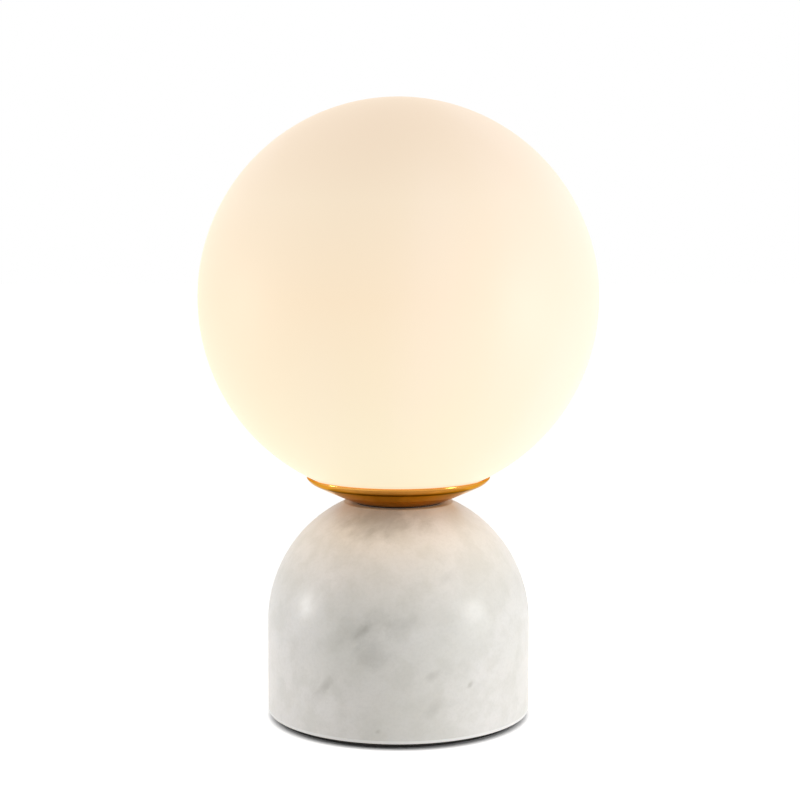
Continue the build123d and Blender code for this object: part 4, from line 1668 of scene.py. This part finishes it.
@dataclass
class Lampholder:
    """What stands in the dish: the sprung spider, the bent strap, the ceramic body and its contacts."""

    sheet_ease: float = 0.12 * MM
    strap_ease: float = 0.2 * MM
    ceramic_ease: float = 0.35 * MM
    contact_ease: float = 0.08 * MM
    screw_spread: float = 15.133 * MM  # from the lamp's axis
    screw_shank: float = 1.45 * MM
    screw_head: float = 2.75 * MM
    screw_head_height: float = 2 * MM

    def build(self) -> None:
        """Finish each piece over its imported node."""
        sprung = PlainMetal("spring_steel", (150, 152, 158), (124, 126, 134), 0.22).material()
        seated(softened("globe_spring", "sprung_spider", sprung, self.sheet_ease), "base", "spring_steel")
        steel = PlainMetal("bracket_steel", (190, 190, 184), (166, 166, 160), 0.30).material()
        seated(softened("socket_bracket", "bent_strap", steel, self.strap_ease), "base", "plated_steel")
        ceramic = PlainSkin("steatite", (232, 226, 214), (220, 213, 200), 0.42, Skin.SMOOTH,
                            0.00003).material()
        seated(softened("socket_body", "ceramic_holder", ceramic, self.ceramic_ease), "base", "steatite")
        nickel = PlainMetal("nickel", (202, 196, 182), (180, 172, 156), 0.20).material()
        seated(softened("socket_contacts", "holder_contacts", nickel, self.contact_ease), "base", "nickel")
        head_seat = top("bracket_screws") - self.screw_head_height
        screw = Screw(self.screw_shank, head_seat - bottom("bracket_screws"), self.screw_head,
                      self.screw_head_height, Drive.SLOT)
        pair = set_out("holder_screws", screw.source("holder_screw", steel),
                       Rows(z=head_seat, deep=1, width=2 * self.screw_spread))
        seated(pair, "base", "plated_steel", "bracket_screws")


# ---------------------------------------------------------------------------
# Bulb
# ---------------------------------------------------------------------------


@dataclass
class Bulb:
    """Two-pin bulb: a ceramic foot, a light core with its chips and a frosted cover."""

    radius: float = 9 * MM
    wall: float = 1 * MM
    core_width: float = 6 * MM
    chip: float = 2.4 * MM
    chip_height: float = 0.5 * MM
    chip_rows: int = 5
    lip_ease: float = 0.3 * MM
    foot_ease: float = 0.25 * MM
    pin_ease: float = 0.12 * MM
    core_ease: float = 0.25 * MM
    rows: int = 24

    def cover(self) -> list[Point]:
        """Draw the cover's section: a tube with a round top and a rounded lower lip.

        Returns:
            Radius and height of each point.
        """
        low, high = bottom("bulb_cover"), top("bulb_cover")
        inner = self.radius - self.wall
        outside = arc((0.0, high - self.radius), self.radius, 0.0, 90.0, self.rows)
        inside = arc((0.0, high - self.radius), inner, 90.0, 0.0, self.rows)
        lip = eased_within([inside[-1], (inner, low), (self.radius, low), outside[0]], self.lip_ease)
        return [*outside, *inside, *lip]

    def chips(self, material: bpy.types.Material) -> bpy.types.Object:
        """Set the chips out on the core's four sides: rows up a post, copied four times round it.

        Args:
            material: What the chips are made of.

        Returns:
            The chips, as one piece.
        """
        low, high = bottom("bulb_core"), top("bulb_core")
        grow = Growth("light_chips", {
            "Faces": 4,
            "Per Face": self.chip_rows,
            "Side": self.chip,
            "Height": self.chip_height,
            "Reach": self.core_width / 2 + self.chip_height / 2,
            "Step": (high - low) / self.chip_rows,
            "First": low + (high - low) / self.chip_rows / 2,
        }, material)
        chip = grow.add("GeometryNodeMeshCube", Size=grow.spot(*map(grow.size, ("Height", "Side", "Side"))),
                        Vertices_X=2, Vertices_Y=3, Vertices_Z=3)
        post = grow.add("GeometryNodeMeshLine", Count=grow.size("Per Face"),
                        Start_Location=grow.spot(x=grow.size("Reach"), z=grow.size("First")),
                        Offset=grow.spot(z=grow.size("Step")))
        column = grow.add("GeometryNodeInstanceOnPoints", Points=post.outputs[0],
                          Instance=chip.outputs["Mesh"])
        corners = grow.add("GeometryNodeMeshCircle", Vertices=grow.size("Faces"), Radius=0.0)
        quarter = grow.maths("DIVIDE", 2 * math.pi, grow.size("Faces"))
        index = grow.add("GeometryNodeInputIndex").outputs[0]
        around = grow.add("GeometryNodeInstanceOnPoints", Points=corners.outputs[0],
                          Instance=column.outputs[0],
                          Rotation=grow.spot(z=grow.maths("MULTIPLY", index, quarter)))
        return grow.piece("light_chips", around.outputs[0])

    def build(self) -> None:
        """Make the bulb's pieces; its glow shows where the globe is lifted off."""
        frosted = PlainSkin("frosted_glass", (252, 240, 218), (246, 232, 206), 0.45, Skin.SMOOTH, 0.00002,
                            glow=0.55).material()
        cover = turned("frosted_cover", self.cover(), frosted, SMALL_STEPS)
        seated(cover, "bulb", "frosted_glass", "bulb_cover")
        ceramic = PlainSkin("glazed_ceramic", (240, 238, 232), (230, 227, 220), 0.25, Skin.SMOOTH, 0.00002,
                            coat=0.4).material()
        seated(softened("bulb_base", "ceramic_foot", ceramic, self.foot_ease), "bulb", "bulb_ceramic")
        nickel = PlainMetal("pin_wire", (206, 200, 188), (184, 178, 164), 0.18).material()
        seated(softened("bulb_pins", "looped_pins", nickel, self.pin_ease), "bulb", "nickel")
        board = PlainSkin("light_board", (236, 236, 232), (222, 222, 218), 0.55, Skin.GRAINED,
                          0.00002).material()
        low, high, wide = bottom("bulb_core"), top("bulb_core"), self.core_width
        bm = bmesh.new()
        bmesh.ops.create_cube(bm, size=1.0, matrix=upright(0.0, 0.0, (low + high) / 2)
                              @ Matrix.Diagonal((wide, wide, high - low, 1.0)))
        bmesh.ops.bevel(bm, geom=bm.edges[:], offset=self.core_ease, segments=3, profile=0.5,
                        affect="EDGES")
        seated(finished("light_core", bm, board), "bulb", "light_board", "bulb_core")
        phosphor = PlainSkin("yellow_phosphor", (244, 206, 84), (232, 190, 66), 0.5, Skin.GRAINED, 0.00002,
                             glow=0.3).material()
        seated(self.chips(phosphor), "bulb", "light_board")


# ---------------------------------------------------------------------------
# Wiring inside the marble
# ---------------------------------------------------------------------------


@dataclass
class Wiring:
    """Terminal block on the foot plate, its clamps and screws, and the two leads up the stem."""

    block_ease: float = 0.4 * MM
    clamp_ease: float = 0.15 * MM
    clamp_spacing: float = 13 * MM
    clamp_pitch: float = 7 * MM
    clamp_shank: float = 1.2 * MM
    clamp_thread: float = 0.55  # of a clamp screw's length
    block_shank: float = 1.45 * MM
    block_head: float = 2.75 * MM
    block_head_height: float = 1.8 * MM
    sleeve_ease: float = 0.1 * MM

    def build(self) -> None:
        """Finish the block and what is screwed into it, and sheath the leads."""
        nylon = PlainSkin("white_nylon", (234, 232, 224), (222, 219, 210), 0.5, Skin.SMOOTH,
                          0.00003).material()
        seated(softened("terminal_block", "nylon_block", nylon, self.block_ease), "base", "white_nylon")
        brass = PlainMetal("clamp_brass", (206, 168, 96), (184, 144, 74), 0.28).material()
        seated(softened("terminal_clamps", "clamp_sleeves", brass, self.clamp_ease), "base", "insert_brass")
        steel = PlainMetal("screw_steel", (192, 192, 188), (164, 164, 160), 0.25).material()
        low, high = bottom("terminal_screws"), top("terminal_screws")
        middle = (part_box("terminal_block")[0].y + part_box("terminal_block")[1].y) / 2
        thread = (high - low) * self.clamp_thread
        grub = Screw(self.clamp_shank, thread, self.clamp_shank, high - low - thread, Drive.SLOT)
        four = set_out("clamp_screws", grub.source("clamp_screw", steel),
                       Rows(y=middle, z=low + thread, width=self.clamp_spacing, depth=self.clamp_pitch))
        seated(four, "base", "plated_steel", "terminal_screws")
        seat = top("block_screw") - self.block_head_height
        long = Screw(self.block_shank, seat - bottom("block_screw"), self.block_head, self.block_head_height,
                     Drive.CROSS)
        one = set_out("block_fixing_screw", long.source("long_screw", steel),
                      Rows(y=middle, z=seat, across=1, deep=1))
        seated(one, "base", "plated_steel", "block_screw")
        for node, name, slot, bright, deep in (
            ("live_lead", "brown_lead", "live_sleeve", (112, 66, 38), (92, 52, 28)),
            ("neutral_lead", "blue_lead", "neutral_sleeve", (48, 92, 160), (36, 74, 136)),
        ):
            sleeve = PlainSkin(slot, bright, deep, 0.5, Skin.GRAINED, 0.00002).material()
            seated(softened(node, name, sleeve, self.sleeve_ease), "base", slot)


# ---------------------------------------------------------------------------
# Foot plate screws, their inserts and the cord inlet
# ---------------------------------------------------------------------------


@dataclass
class FootScrews:
    """Countersunk screws that hold the foot plate, in brass inserts glued into the marble."""

    count: int = 3
    circle: float = 53 * MM
    first: float = 30.0  # degrees from the right-hand side
    shank: float = 1.45 * MM
    head: float = 3 * MM
    insert_radius: float = 2.5 * MM
    insert_hole: float = 1.55 * MM
    knurl_depth: float = 0.12 * MM
    knurls: int = 24
    knurl_ease: float = 0.4 * MM  # height over which a band's knurls run out

    def insert(self, material: bpy.types.Material) -> bpy.types.Object:
        """Cut one insert: two knurled bands between smooth ones, open at both ends, standing on height 0.

        Args:
            material: Its brass.

        Returns:
            The insert.
        """
        length = top("marble_inserts") - bottom("marble_inserts")
        ease = self.knurl_ease
        heights = [0.0, ease, 2 * ease, length * 0.45, length * 0.55, length - 2 * ease, length - ease,
                   length]
        depths = [0.3, 0.0, 1.0, 1.0, 0.0, 1.0, 0.0, 0.3]
        bm = bmesh.new()
        columns = []
        for step in range(4 * self.knurls):
            angle = 2 * math.pi * step / (4 * self.knurls)
            ridge = (1 - math.cos(angle * self.knurls)) / 2
            column = [(self.insert_hole, 0.0)]
            for height, depth in zip(heights, depths):
                column.append((self.insert_radius - self.knurl_depth * depth * ridge, height))
            column.append((self.insert_hole, length))
            columns.append([bm.verts.new((r * math.cos(angle), r * math.sin(angle), z)) for r, z in column])
        ringed(bm, columns)
        return finished("insert", bm, material)

    def build(self) -> None:
        """Set the screws and the inserts out on their circle."""
        steel = PlainMetal("foot_screw_steel", (192, 192, 188), (164, 164, 160), 0.25).material()
        low, high = bottom("plate_screws"), top("plate_screws")
        screw = Screw(self.shank, high - low, self.head, 0.0, Drive.CROSS, countersunk=True)
        screws = set_out("foot_screws", screw.source("foot_screw", steel),
                         Ring(z=low, first=self.first, count=self.count, radius=self.circle))
        seated(screws, "base", "plated_steel", "plate_screws")
        brass = PlainMetal("insert_brass", (206, 168, 96), (184, 144, 74), 0.28).material()
        inserts = set_out("knurled_inserts", self.insert(brass),
                          Ring(z=bottom("marble_inserts"), first=self.first, count=self.count,
                               radius=self.circle))
        seated(inserts, "base", "insert_brass", "marble_inserts")


@dataclass
class CordInlet:
    """Nylon bushing at the back, through which a cord comes in."""

    height: float = 13 * MM
    bore: float = 3.2 * MM
    wall: float = 1.3 * MM
    flange: float = 7 * MM
    flange_thickness: float = 1.5 * MM
    ease: float = 0.5 * MM
    lip: float = 0.8 * MM

    def build(self) -> None:
        """Turn the bushing about its own axis, which points back."""
        nylon = PlainSkin("bushing_nylon", (226, 224, 218), (214, 211, 204), 0.42, Skin.SMOOTH,
                          0.00002).material()
        start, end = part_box("cord_bushing")[0].y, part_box("cord_bushing")[1].y
        seat, sleeve = end - self.flange_thickness, self.bore + self.wall
        mouth = arc((self.bore + self.lip, end - self.lip), self.lip, 180.0, 90.0, 6)
        rim = arc((self.flange - self.ease, end - self.ease), self.ease, 90.0, 0.0, 6)
        nose = arc((self.bore + self.wall / 2, start + self.wall / 2), self.wall / 2, 0.0, -180.0, 8)
        outline = [*mouth, *rim, (self.flange, seat), (sleeve, seat), *nose]
        bushing = turned("inlet_bushing", outline, nylon, SMALL_STEPS, backward(self.height))
        seated(bushing, "base", "bushing_nylon", "cord_bushing")


# ---------------------------------------------------------------------------
# The lamp
# ---------------------------------------------------------------------------


def main() -> None:
    """Build the studio and the lamp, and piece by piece."""
    logging.basicConfig(level=logging.INFO, format="%(name)s %(message)s")
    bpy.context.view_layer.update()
    Studio().build()
    for assembly in (GlassGlobe(), MarbleBase(), BrassDish(), Foot(), StemStack(), Lampholder(), Bulb(),
                     Wiring(), FootScrews(), CordInlet()):
        assembly.build()
        LOG.info("%s done", type(assembly).__name__)


if __name__ == "__main__":
    main()
